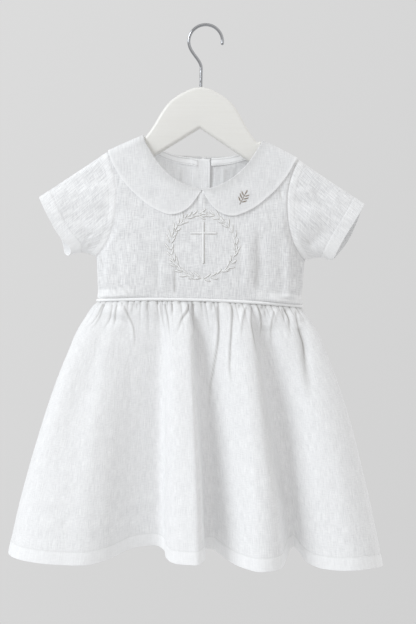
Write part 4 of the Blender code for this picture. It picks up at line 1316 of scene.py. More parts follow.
@dataclass(frozen=True)
class BackBodice(BodicePanel):
    """The two back panels: the right one laps over the left one's button stand."""

    # x from the gown's middle of each panel's edge and of its inner fold.
    edges: tuple[tuple[float, float], ...] = ((8.4, -13.0), (-11.0, 14.6))
    lap_ramp: tuple[float, float] = (9.6, 14.6)  # x over which the right one comes down
    lap: float = 1.5  # how far it lies over the left one
    hem_width: float = 19.4  # the folded edge of each panel
    columns: tuple[int, int, int] = (26, 66, 28)

    def build(self, hand: Hand) -> Any:
        """One panel, from its edge at the centre back to the side seam and the armhole.

        Args:
            hand: Which panel.

        Returns:
            The panel's object.
        """
        form, outward = self.form, hand.value
        first, inner = self.edges[hand is Hand.RIGHT]
        strip = form.middle + np.linspace(first, inner, self.columns[0] + 1)
        corner = form.middle + outward * form.neck_half
        run = strip[-1] + (corner - strip[-1]) * crowded(self.columns[1], (1.0, 0.2, 3.0))
        neck_x = np.concatenate([strip, run[1:]])
        neck_q = form.along_of(neck_x, form.back_neck(neck_x, hand))
        neck_q[-1] = 0.0
        shoulder_x = np.linspace(corner, form.middle + outward * form.armhole_top, self.columns[2])
        shoulder = stacked(shoulder_x, 0 * shoulder_x)[1:]
        top = np.concatenate([stacked(neck_x, neck_q), shoulder])
        shares = np.linspace(0, 1, 400)
        strip_shares = np.interp(strip, form.waist_x(shares), shares)
        steps = np.linspace(0, 1, len(top) - len(strip) + 1)[1:]
        steps = steps + 0.14 * np.sin(math.pi * steps) * (1 - steps)
        outer = strip_shares[-1] + ((1 + outward) / 2 - strip_shares[-1]) * steps
        bottom = form.waist_edge(np.concatenate([strip_shares, outer]))
        down = self.rows()
        centre = top[0] + (bottom[0] - top[0]) * down[:, None]
        across = smoothstep(np.linspace(0, 1, len(top)), 0.3, 1.0)
        side = form.side_edge(hand, down, self.armhole_part)
        patch = coons((top, bottom, centre, side), across, down)
        x, q = patch[..., 0], patch[..., 1]
        z = form.cloth(x, q, Face.BACK)[0][..., 2]
        inwards = np.abs(x - strip[0])
        double = 1 - smoothstep(inwards, self.hem_width - 0.4, self.hem_width + 0.4)
        lift = uneven(x, z, 11, 38.0, 0.6, 1.4) + uneven(x, z, 12, 12.0, 0.10)
        lift = lift * smoothstep(inwards, 12.0, 40.0) + relief(x - form.middle, z, self.creases(hand))
        thickness = SINGLE + (DOUBLE - SINGLE) * double
        thickness = np.minimum(thickness, rounded(inwards, DOUBLE))
        # Painted light: the upper back, seen inside the neck, is made lighter; the hem at its edge lies
        # double.
        layers = np.maximum(double, 0.9 * smoothstep(z, -225.0, -190.0))
        cloth = self.panel(patch, Face.BACK, (hand,), lift, layers, thickness)
        if hand is Hand.RIGHT:
            lap = 1 - smoothstep(x, form.middle + self.lap_ramp[0], form.middle + self.lap_ramp[1])
            cloth.points = cloth.points + cloth.normals * (self.lap * lap)[..., None]
            cloth.normals = grid_normals(cloth.points, cloth.normals)
        else:
            parts = (cloth.points, cloth.normals, cloth.uv, cloth.layers, cloth.thickness)
            parts = [part[:, ::-1] for part in parts]
            cloth = Cloth(*parts, hollow=cloth.hollow[:, ::-1])
        # Painted glow on the inner face, seen through the neck: more on the left panel, less than plain
        # linen on the right.
        cloth.inside = 1.9 if hand is Hand.LEFT else -0.3
        piece = cloth.build(f"bodice_back_{hand.word}_cloth", self.finishes.back_linen)
        return settle(piece, "linen", f"bodice_back_{hand.word}")

    def creases(self, hand: Hand) -> tuple[Crease, ...]:
        """The creases that a hung back has: upright ones by the opening, slanting ones outside."""
        return crease_rows(
            (24.0, -150.0, 25.0, -185.0, 27.0, -225.0, 2.6, -0.9, 1.5, 0.1, 0.6),
            (38.0, -150.0, 37.0, -190.0, 40.0, -215.0, 2.2, 0.6, 1.5, 0.1, 0.6),
            (50.0, -205.0, 46.0, -250.0, 47.0, -298.0, 5.0, -1.3, 1.5, 0.3, 0.3),
            (80.0, -195.0, 92.0, -222.0, 104.0, -244.0, 4.0, -1.3, 1.5, 0.2, 0.3),
            (110.0, -262.0, 96.0, -274.0, 80.0, -292.0, 2.2, -0.7, 1.5, 0.1, 0.5), side=hand.value
        )


@dataclass(frozen=True)
class Sleeve:
    """A short set-in sleeve: a flat tube from the armhole to an open cuff with a turned hem."""

    form: BodiceForm
    finishes: Finishes
    hand: Hand
    back_bulge: tuple[float, float, float]  # where down the cuff, how far out, over what share
    front_draw: tuple[float, float, float]  # the same for the front, which is drawn in
    creases: tuple[Crease, ...] = ()
    cuff_top: tuple[float, float] = (178.8, -192.3)
    cuff_foot: tuple[float, float] = (145.0, -255.0)
    cuff_depth: float = 12.5
    cuff_shape: float = 0.85
    arch: float = 3.6
    hem: float = 14.0
    allowance: float = 8.5
    seam: float = 1.0  # how deep its armhole seam is, and how strong the painted shade in it
    # Share of the painted glow on its inner face.
    lit_inside: float = 0.0
    half_girth: float = 78.0  # of its cloth, round the front or the back
    half_columns: int = 82
    seed: int = 21

    def surface(self, ring: Array, distance: Array, from_cuff: Array) -> tuple[Array, Array]:
        """Points of the sleeve.

        Each lies on a straight line from the armhole to the flattened cuff, and the underside
        arches up between them.

        Args:
            ring: 0 to 2 round the sleeve from its top, the front first.
            distance: How far from the armhole, as a share of the body between the seam
                allowance and the hem, counted after the allowance.
            from_cuff: Distances that are fixed instead: above 0 from the armhole, 0 or below
                from the cuff, not a number where the share holds.

        Returns:
            The points, and the distance of each from the armhole in millimetres.
        """
        form, outward = self.form, self.hand.value
        front = ring <= 1
        share = np.where(front, ring, 2 - ring)
        side = np.where(front, -1.0, 1.0)
        line = form.armhole(self.hand, share)
        q = form.along_of(line[..., 0], line[..., 1])
        start = form.cloth(line[..., 0], q, Face.BACK)[0] * mirrored(side)
        top = np.array([form.middle + outward * self.cuff_top[0], 0.0, self.cuff_top[1]])
        foot = np.array([form.middle + outward * self.cuff_foot[0], 0.0, self.cuff_foot[1]])
        cuff = top + (foot - top) * ((1 - np.cos(math.pi * share)) / 2)[..., None]
        cuff[..., 1] = side * self.cuff_depth * np.sin(math.pi * share) ** self.cuff_shape
        away = unit(np.array([-(foot - top)[2] * outward, 0.0, (foot - top)[0] * outward]))
        for chosen, (place, height, reach) in ((~front, self.back_bulge), (front, self.front_draw)):
            swell = bell(share - place, reach) * np.sin(math.pi * share) ** 0.5
            cuff = cuff + away * (height * swell * chosen)[..., None]
        length = np.linalg.norm(cuff - start, axis=-1)
        body = self.allowance + distance * (length - self.allowance - self.hem)
        fixed = np.where(from_cuff > 0, from_cuff, length + from_cuff)
        reach = np.where(np.isnan(from_cuff), body, fixed)
        out = (reach / length)[..., None]
        points = start + (cuff - start) * out
        points[..., 2] += self.arch * np.sin(math.pi * out[..., 0]) * smoothstep(share, 0.72, 1.0)
        return points, reach

    def build(self) -> list[Any]:
        """The sleeve's cloth and its row of stitches.

        Returns:
            Both objects.
        """
        half = crowded(self.half_columns, (0.0, 0.05, 2.5), (1.0, 0.05, 2.5))
        ring = np.concatenate([half, 2 - half[-2:0:-1]])
        near = (0.001, 0.25, 0.5, 0.8, 1.1, 1.5, 2.0)
        near = np.concatenate([near, np.linspace(2.8, 8.0, 7), [8.3]])
        body = np.linspace(0.0, 1.0, 34)
        end = [(-13.7, -13.4, -13.0, -12.6, -12.2, -11.8), np.linspace(-11.0, -1.0, 12)]
        end = np.concatenate(end + [(-0.6, -0.35, -0.2, -0.1, -0.03, 0.0)])
        fixed = np.concatenate([near, np.nan * body, end])
        share = np.concatenate([0 * near, body, 0 * end])
        size = (len(fixed), len(ring))
        grid = [np.broadcast_to(part[:, None], size) for part in (share, fixed)]
        around = np.broadcast_to(ring, size)
        points, reach = self.surface(around, *grid)
        middle = points.mean(axis=1, keepdims=True)
        normals = grid_normals(points, points - middle, wrapped=True)
        from_cuff = np.linalg.norm(points[-1:] - points, axis=-1)
        seam = self.hem - 0.6
        x, z = points[..., 0] - self.form.middle, points[..., 2]
        on_front = np.where(around <= 1, 1.0, 0.0)
        fade = smoothstep(reach, 1.5, 14.0) * smoothstep(from_cuff, 1.0, 20.0)
        fade *= smoothstep(np.abs(np.mod(around + 1, 2) - 1), 0.0, 0.16)
        lift = relief(x, z, self.creases) * on_front
        lift += uneven(x + 60 * on_front, z, self.seed, 26.0, 0.8, 0.8)
        lift = lift * fade + seam_dip(reach) * self.seam
        # The allowance inside the armhole, the hem's seam and the seam under the arm.
        lift += 0.22 * smoothstep(reach, 0.6, 2.2) * (1 - smoothstep(reach, 7.6, 8.4))
        lift += seam_dip(np.abs(from_cuff - seam), 0.7, 0.22)
        under = np.abs(around - 1) * 150.0
        lift += seam_dip(under, 1.2, 0.35) * smoothstep(reach, 0.0, 4.0)
        points = points + normals * lift[..., None]
        normals = grid_normals(points, points - middle, wrapped=True)
        hemmed = 1 - smoothstep(from_cuff, seam, self.hem)
        allowance = 1 - smoothstep(reach, 7.7, 8.3)
        thickness = np.minimum(SINGLE + (DOUBLE - SINGLE) * hemmed, rounded(from_cuff, 1.1))
        uv = stacked(around * self.half_girth, reach) * MM
        # The hem and the armhole's allowance lie double; painted light makes the lower part of the sleeve
        # lighter.
        low = smoothstep(-z, 215.0, 245.0)
        layers = np.maximum((0.45 + 0.45 * low) * hemmed, 0.6 * allowance)
        layers += 0.7 * smoothstep(-z, 222.0, 248.0)
        # Painted shade in the armhole seam, along the hem's stitch line and in the creases.
        hollow = 0.3 * self.seam * bell(reach, 1.0)
        hollow += 0.1 * bell(from_cuff - (seam + 0.5), 0.6)
        hollow += 0.5 * hollows(lift * fade, 3, 0.35, wrapped=True)
        hollow = np.clip(hollow, 0.0, 1.0)
        cloth = Cloth(points, normals, uv, layers, thickness, True, hollow, self.lit_inside)
        name = f"sleeve_{self.hand.word}"
        piece = cloth.build(f"{name}_cloth", self.finishes.sleeve_linen)
        # The stitches lie on the first row past the armhole's allowance, not on the hem.
        row = len(near)
        line = points[row] + normals[row] * (thickness[row] / 2)[:, None]
        line, up = (np.concatenate([part, part[:1]]) for part in (line, normals[row]))
        thread = Stitching().build(f"{name}_hem_stitches", [(line, up)], self.finishes.white_thread)
        return [settle(piece, "linen", name), settle(thread, "embroidery_white")]


@dataclass(frozen=True)
class Collar:
    """Half of a Peter Pan collar: two layers with a rolled edge that fold over the neck seam."""

    form: BodiceForm
    finishes: Finishes
    hand: Hand
    # Neck x, neck z, edge x, edge z: on the front from the centre to the shoulder.
    front: tuple[tuple[float, float, float, float], ...] = (
        (1.0, -182.6, 1.4, -185.0), (5.0, -182.2, 6.6, -193.2), (10.0, -181.0, 13.2, -201.6),
        (16.0, -179.0, 22.2, -207.8), (23.0, -175.8, 33.0, -210.2), (31.0, -171.0, 45.0, -206.9),
        (39.0, -164.6, 58.0, -199.9), (47.0, -156.2, 71.0, -189.2), (54.0, -147.0, 83.2, -176.8),
        (60.0, -137.2, 93.0, -163.2), (64.4, -129.4, 99.6, -151.0)
    )
    # The same on the back, from the shoulder to the centre.
    back: tuple[tuple[float, float, float, float], ...] = (
        (64.6, -128.0, 100.6, -151.0), (60.0, -133.0, 92.0, -164.0), (50.0, -137.6, 76.0, -175.6),
        (37.0, -141.0, 56.0, -182.6), (22.0, -143.0, 34.0, -186.0), (9.0, -143.8, 13.0, -187.0),
        (4.0, -143.9, 4.6, -185.4), (1.4, -143.9, 1.4, -180.0)
    )
    shoulder: tuple[float, float] = (66.0, 103.6)
    lap_ramp: tuple[float, float] = (15.0, 26.0)  # how far out it comes down off the lap
    lap: float = 1.5
    clear: float = 1.45  # its middle above the bodice's, at the neck
    lift: float = -0.1  # and this much more at its edge
    columns: int = 220
    roll_rows: int = 8
    body: float = 0.9
    edge: float = 1.1

    def sections(self) -> Array:
        """The neck and outer edges as x and signed q, q below 0 on the back."""
        form, rows = self.form, []
        for sign, table in ((1, self.front), (-1, self.back)):
            for neck_x, neck_z, edge_x, edge_z in table:
                section = []
                for out, z in ((neck_x, neck_z), (edge_x, edge_z)):
                    x = form.middle + self.hand.value * out
                    section += [x, sign * float(form.along_of(np.array(x), z))]
                rows.append(section)
            if sign > 0:
                neck, edge = (form.middle + self.hand.value * out for out in self.shoulder)
                rows.append([neck, 0.0, edge, 0.0])
        return np.array(rows)

    def build(self) -> Any:
        """The collar's cloth: a rolled half circle up from the neck seam, and then the patch.

        Returns:
            The object.
        """
        form = self.form
        sections = self.sections()
        stations = lengths_along(sections)
        ridge_at = stations[len(self.front)] / stations[-1]
        shares = crowded(self.columns, (ridge_at, 0.07, 3.0), (0.0, 0.03, 3.0), (1.0, 0.03, 2.0))
        edges = spline(stations, sections, shares * stations[-1])
        width = np.linalg.norm(edges[:, 2:] - edges[:, :2], axis=1)
        end = np.array([3.2, 2.6, 2.0, 1.5, 1.0, 0.6, 0.35, 0.2, 0.1, 0.04, 0.0])
        inner = np.concatenate([[0.0, 0.004, 0.03], np.linspace(0.07, 1.0, 28)])
        start = np.maximum(width - 4.0, width * 0.5)
        near_end = np.minimum(end[:, None] * np.minimum(width / 8.0, 1.0), width * 0.48)
        far = np.concatenate([inner[:, None] * start, width - near_end])
        out = (far / width)[..., None]
        flat = edges[None, :, :2] + (edges[:, 2:] - edges[:, :2])[None] * out
        x, q = flat[..., 0], flat[..., 1]
        front = q >= 0
        over_lap = np.where(front, 0.0, 1 - smoothstep(np.abs(x - form.middle), *self.lap_ramp))
        out = out[..., 0]
        sway = uneven(x, q, 31, 27.0, 0.45) * smoothstep(out, 0.1, 0.8)
        lift = self.clear + self.lift * out**2 + self.lap * over_lap + sway
        mid, normals = form.cloth(x, np.abs(q), Face.BACK, lift)
        turned = mirrored(np.where(front, -1.0, 1.0))
        mid, normals = mid * turned, normals * turned
        ahead = unit(mid[0] - mid[1])
        radius = ((self.clear + 0.5 + self.lap * over_lap[0]) / 2)[:, None]
        roll = []
        for bend in np.linspace(math.pi, 0.0, self.roll_rows + 1)[:-1]:
            around = ahead * math.sin(bend) - normals[0] * (1 - math.cos(bend))
            roll.append(mid[0] + around * radius)
        points = np.concatenate([np.array(roll), mid])
        outward = np.concatenate([np.array([ahead] * self.roll_rows), normals])
        outward[:3] = -normals[0]
        normals = grid_normals(points, outward)
        none = np.zeros((self.roll_rows, len(width)))
        distance = np.concatenate([none + 30.0, width - far])
        bead = (self.edge - self.body) * bell(distance - 1.2, 1.3)
        thickness = np.minimum(self.body + bead, rounded(distance, self.edge))
        thickness[: self.roll_rows] = np.linspace(SINGLE, self.body, self.roll_rows)[:, None]
        uv = points[..., [0, 2]] * MM
        # The collar lies double; painted highlight runs along its outer edge, and painted shade along the
        # neck where it rolls under.
        bright = 0.1 + 1.2 * bell(distance, 2.0)
        rolled = np.concatenate([none, out])
        hollow = 0.22 * bell(rolled, 0.2)
        cloth = Cloth(points, normals, uv, bright, thickness, hollow=hollow)
        name = f"collar_{self.hand.word}"
        piece = cloth.build(f"{name}_cloth", self.finishes.collar_linen)
        return settle(piece, "linen", name)


@dataclass(frozen=True)
class NeckFinish:
    """The binding inside the back neck and the button stand's inner layer, with their stitches."""

    form: BodiceForm
    finishes: Finishes
    depth: float = 8.0
    thick: float = 0.8
    stitched: tuple[float, float] = (1.2, 6.8)  # how far down its rows of stitches are
    reach: float = 56.0
    ends: tuple[float, float] = (-5.5, 9.6)
    inside: float = -0.95  # their middle lies this far inside the back panels'
    step_off: tuple[float, float] = (-13.5, -11.5)  # x where the left half clears the right one
    stand: tuple[float, float] = (-11.0, 8.4)
    stand_drop: float = 1.5
    stand_corner: float = 4.5  # radius of its upper corner
    columns: int = 64

    def band(self, hand: Hand) -> list[Any]:
        """One half of the binding: a strip with two rows of stitches.

        Args:
            hand: Which half.

        Returns:
            The strip and its stitches.
        """
        form, inner = self.form, self.ends[0 if hand is Hand.LEFT else 1]
        outer = form.middle + hand.value * self.reach
        across = np.linspace(form.middle + inner, outer, self.columns)
        down = np.array([0.0, 0.06, 0.2, 0.4, 0.8, 1.2, 1.6, 2.4, 3.6, 4.8, 5.8, 6.4, 6.8, 7.2])
        down = np.concatenate([down, [7.6, 7.8, 7.94, 8.0]])
        x = np.broadcast_to(across, (len(down), self.columns))
        z = form.back_neck(x, hand) - down[:, None]
        distance = np.minimum(down, self.depth - down)[:, None]
        dips = seam_dip(np.abs(distance - 1.4), 0.45, 0.16)
        sway = uneven(x, z, 41, 9.0, 0.25)
        offset = self.inside + sway - dips
        if hand is Hand.LEFT:
            over = smoothstep(x, *(form.middle + edge for edge in self.step_off))
            z = z - 0.25 * over * (x - form.middle + 12.0)
            offset = offset - 1.0 * over
        points, normals = form.cloth(x, form.along_of(x, z), Face.BACK, offset)
        normals = -normals
        ends = np.minimum(np.abs(x - across[0]), np.abs(x - across[-1]))
        thickness = np.minimum(rounded(distance, self.thick), rounded(ends, self.thick))
        uv = stacked(x, z) * MM
        name = f"neck_band_{hand.word}"
        # Painted shade along both rows of stitches, and painted glow on the band's face.
        sewn = 0.4 * bell(distance - 1.4, 0.5) + 0.0 * x
        cloth = Cloth(points, normals, uv, 0.9, thickness, hollow=sewn, outside=1.3)
        piece = cloth.build(f"{name}_cloth", self.finishes.linen)
        rows = [int(np.argmin(np.abs(down - place))) for place in self.stitched]
        lines = [(points[row] + normals[row] * self.thick / 2, normals[row]) for row in rows]
        maker = Stitching(pitch=2.1, length=1.5)
        thread = maker.build(f"{name}_stitches", lines, self.finishes.white_thread)
        return [settle(piece, "linen", name), settle(thread, "embroidery_white")]

    def flap(self) -> list[Any]:
        """The button stand's inner layer: a strip down the centre back with a turned edge.

        Returns:
            The strip and the stitches down its edge.
        """
        form = self.form
        left, right = (form.middle + edge for edge in self.stand)
        inwards = np.array([0.0, 0.06, 0.2, 0.4, 0.8, 1.3, 2.0])
        columns = np.concatenate([left + inwards, np.linspace(left + 3, right - 3, 22)])
        columns = np.concatenate([columns, right - inwards[::-1]])
        x, corner = columns[None, :], self.stand_corner
        top = form.back_neck(x, Hand.RIGHT) - self.stand_drop
        near = np.clip(corner - (right - x), 0, corner)
        top = top - (corner - np.sqrt(corner**2 - near**2))
        foot = form.waist_height(x) + form.cord / 2
        down = crowded(84, (0.0, 0.03, 4.0))[:, None]
        z = top + (foot - top) * down
        x = np.broadcast_to(x, z.shape)
        offset = self.inside + uneven(x, z, 42, 11.0, 0.22, 2.0)
        points, normals = form.cloth(x, form.along_of(x, z), Face.BACK, offset)
        normals = -normals
        edge = np.minimum(np.minimum(right - x, x - left), top - z)
        thickness = rounded(np.maximum(edge, 0.0), self.thick)
        uv = stacked(x, z) * MM
        # Painted glow on the button stand's face.
        cloth = Cloth(points, normals, uv, 0.75, thickness, outside=1.0)
        piece = cloth.build("button_stand_cloth", self.finishes.linen)
        column = int(np.argmin(np.abs(columns - (right - 3))))
        line = points[3:, column] + normals[3:, column] * self.thick / 2
        maker = Stitching(pitch=2.4, length=1.8)
        thread = maker.build(
            "button_stand_stitches", [(line, normals[3:, column])], self.finishes.white_thread
        )
        return [settle(piece, "linen", "button_stand"), settle(thread, "embroidery_white")]


@dataclass(frozen=True)
class Piping:
    """Cord in a folded bias strip, sewn into the waist seam all round."""

    form: BodiceForm
    finishes: Finishes
    proud: float = 0.5
    sides: int = 16
    tight: float = 0.3  # how much denser the drawn cloth looks

    def build(self, name: str, face: Face, start: float, end: float) -> Any:
        """A stretch of the piping.

        Its radius swells and shrinks a little, as the cloth is drawn over the cord's twist.

        Args:
            name: The CAD node that it stands for.
            face: Front or back.
            start: Share of the waist's length where it begins.
            end: Where it ends.

        Returns:
            The object.
        """
        form = self.form
        count = int(300 * (end - start))
        x = form.waist_x(start + (end - start) * crowded(count, (0.0, 0.05, 2.0), (1.0, 0.05, 2.0)))
        line, _ = form.cloth(x, form.along_of(x, form.waist_height(x)), face, self.proud)
        wobble = uneven(x, 0 * x, 51, 6.0, 0.05) + uneven(x, 0 * x, 52, 2.6, 0.03)
        points, out, uv = tube(line, form.cord / 2 + wobble, self.sides)
        layers = {"uv": uv.reshape(-1, 2), "layers": np.full(uv.size // 2, self.tight)}
        piece = round_mesh(f"{name}_cord", points, out, self.finishes.piping, **layers)
        return settle(piece, "piping", name)


# ---------------------------------------------------------------- the skirt

# Each kind's Crease: width, height, lean, die_away and stepped. Then the painted shade along its
# bottom, the painted highlight along its lip, and half the width of both. The wall, corner and
# chink kinds are mostly broad painted shade on the walls of the deep folds.
FOLD_KINDS: dict[str, tuple[float, ...]] = {
    "nick": (1.4, -0.9, 1.2, 0.6, 0.0, 0.4, 0.3, 0.9),
    "furrow": (1.6, -1.2, 1.6, 0.6, 0.0, 0.52, 0.4, 0.9),
    "groove": (1.9, -1.6, 2.0, 0.5, 0.0, 0.55, 0.5, 0.9),
    "pleat": (3.0, 1.0, 1.6, 0.45, 1.0, 0.56, 0.8, 0.9),
    "lip": (1.8, 1.1, 1.4, 0.6, 0.4, 0.15, 0.6, 0.9),
    "fold": (2.4, 1.5, 1.6, 0.55, 0.5, 0.35, 0.7, 0.9),
    "swell": (9.0, 2.4, 1.3, 0.6, 0.0, 0.0, 0.0, 0.9),
    "valley": (16.0, -3.2, 1.0, 0.7, 0.0, 0.0, 0.0, 0.9),
    "dell": (7.0, -1.2, 0.6, 0.5, 0.0, 0.0, 0.0, 0.9),
    "flank": (4.5, -2.8, 2.8, 0.35, 0.0, 0.0, 0.0, 0.9),
    "wall": (7.0, -0.4, 1.0, 0.2, 0.0, 0.17, 0.0, 7.5),
    "corner": (7.0, -0.3, 1.0, 0.7, 0.0, 0.12, 0.0, 6.0),
    "chink": (5.0, -1.2, 1.0, 0.45, 0.0, 0.34, 0.0, 4.2)
}
# Folds of the skirt's front: kind, then x from the gown's middle and z down each line.
FRONT_FOLDS: tuple[tuple[Any, ...], ...] = (
    ("furrow", -104.2, -307.4, -109.2, -318.4, -115.8, -328.6, -122.7, -334.2),
    ("fold", -103.5, -307.4, -108.1, -320.2, -114.5, -331.3, -121.3, -336.0),
    ("furrow", -94.1, -307.9, -94.4, -313.3, -96.8, -321.6, -101.7, -331.8, -105.3, -338.4),
    ("groove", -88.8, -308.6, -90.4, -320.5, -92.5, -334.4),
    ("swell", -86.5, -307.6, -88.5, -323.2, -95.5, -348.3, -105.9, -379.1, -116.5, -402.3),
    ("nick", -83.3, -306.5, -82.3, -313.8),
    ("fold", -81.8, -308.3, -78.3, -317.3, -74.2, -325.3, -70.9, -334.1, -70.0, -343.9, -70.7, -360.2),
    ("nick", -71.9, -307.0, -72.7, -319.8), ("nick", -67.4, -306.9, -67.6, -315.9),
    ("nick", -56.1, -306.5, -56.5, -317.3), ("lip", -54.6, -305.6, -52.1, -319.0),
    ("nick", -45.0, -305.4, -44.8, -309.0),
    ("lip", -43.1, -305.4, -40.3, -320.6, -37.5, -336.7, -37.1, -352.0),
    ("furrow", -36.9, -306.2, -35.0, -317.0, -32.4, -336.8, -31.0, -347.6),
    ("furrow", -29.5, -306.1, -29.1, -315.2, -31.0, -319.7), ("nick", -21.6, -304.3, -22.3, -307.9),
    ("lip", -12.4, -304.3, -13.5, -311.6, -18.7, -320.6, -23.1, -331.4),
    ("furrow", -11.1, -305.2, -13.6, -316.1, -18.0, -321.5, -21.3, -331.4, -26.6, -342.2),
    ("fold", -8.3, -304.3, -9.8, -314.3, -7.2, -324.3, -5.8, -332.4, -8.3, -341.5, -10.5, -349.7),
    ("furrow", -6.3, -305.2, -6.6, -316.1, -5.0, -328.8), ("nick", 5.2, -303.5, 5.9, -305.3),
    ("lip", 1.6, -304.4, 2.3, -308.9), ("nick", 13.4, -304.5, 13.3, -315.3),
    ("lip", 15.0, -304.6, 16.8, -310.0, 19.1, -317.3),
    (
        "pleat", 18.3, -305.5, 19.8, -319.1, 20.1, -339.0, 18.0, -357.8, 15.4, -373.9, 13.4, -386.4, 11.8,
        -403.4, 11.5, -428.6
    ),
    (
        "pleat", 34.2, -305.0, 34.6, -319.5, 33.9, -335.0, 32.6, -359.4, 32.6, -373.0, 33.5, -383.1, 36.1,
        -398.6
    ),
    ("furrow", 42.7, -306.2, 41.5, -312.5),
    ("fold", 49.8, -307.3, 46.2, -320.8, 45.1, -334.4, 45.2, -345.4),
    ("pleat", 55.3, -306.6, 54.9, -314.7, 55.3, -323.8, 57.7, -337.5, 60.1, -349.4, 62.7, -360.4),
    ("lip", 63.0, -308.7, 64.7, -315.9, 66.4, -324.0),
    ("pleat", 61.9, -306.9, 64.2, -315.0, 66.4, -325.8, 66.1, -343.9),
    ("nick", 66.7, -308.0, 67.0, -312.4), ("nick", 70.9, -308.2, 70.9, -322.3),
    ("lip", 72.5, -309.2, 72.7, -316.2), ("fold", 80.2, -310.5, 76.8, -334.1, 78.0, -350.2, 80.6, -360.1),
    ("lip", 84.1, -309.8, 81.7, -320.3, 79.9, -330.8),
    ("furrow", 88.5, -309.2, 91.2, -317.3, 91.6, -321.8, 89.5, -326.1),
    ("lip", 90.1, -308.4, 92.0, -313.8),
    ("groove", 91.9, -309.4, 96.2, -317.6, 97.7, -329.2, 99.6, -337.4, 101.8, -341.1),
    ("groove", 103.8, -310.1, 106.3, -321.7, 110.0, -334.3, 113.0, -344.2, 114.5, -364.1, 115.5, -385.6),
    ("lip", 105.4, -310.2, 108.2, -317.4, 110.9, -325.6),
    ("dell", 112.0, -318.0, 117.0, -345.0, 119.0, -372.0, 121.0, -408.0),
    (
        "wall", 59.0, -318.0, 63.5, -345.0, 68.0, -381.0, 73.5, -416.0, 80.0, -454.0, 88.0, -500.0, 95.0,
        -540.0
    ),
    ("corner", -4.0, -320.0, -2.0, -345.0, 1.0, -372.0, 4.0, -400.0),
    ("chink", 108.5, -326.0, 112.6, -345.0, 113.8, -362.0, 116.0, -380.0, 118.5, -398.0, 120.5, -416.0),
    ("flank", 70.0, -326.0, 71.5, -347.0, 76.0, -381.0, 82.0, -416.0, 90.0, -454.0, 99.0, -506.0),
    ("valley", -90.2, -316.8, -94.7, -334.4, -108.0, -373.5, -129.6, -430.1, -145.7, -472.6)
)
# Where the gathering thread has drawn the cloth in, as shares of the front's waist.
FRONT_TUCKS: tuple[float, ...] = (
    0.0, 0.034, 0.068, 0.103, 0.129, 0.179, 0.208, 0.236, 0.269, 0.313, 0.336, 0.360, 0.377,
    0.415, 0.444, 0.464, 0.505, 0.526, 0.563, 0.581, 0.637, 0.660, 0.690, 0.724, 0.756, 0.778,
    0.794, 0.820, 0.855, 0.877, 0.912, 0.948, 0.976
)


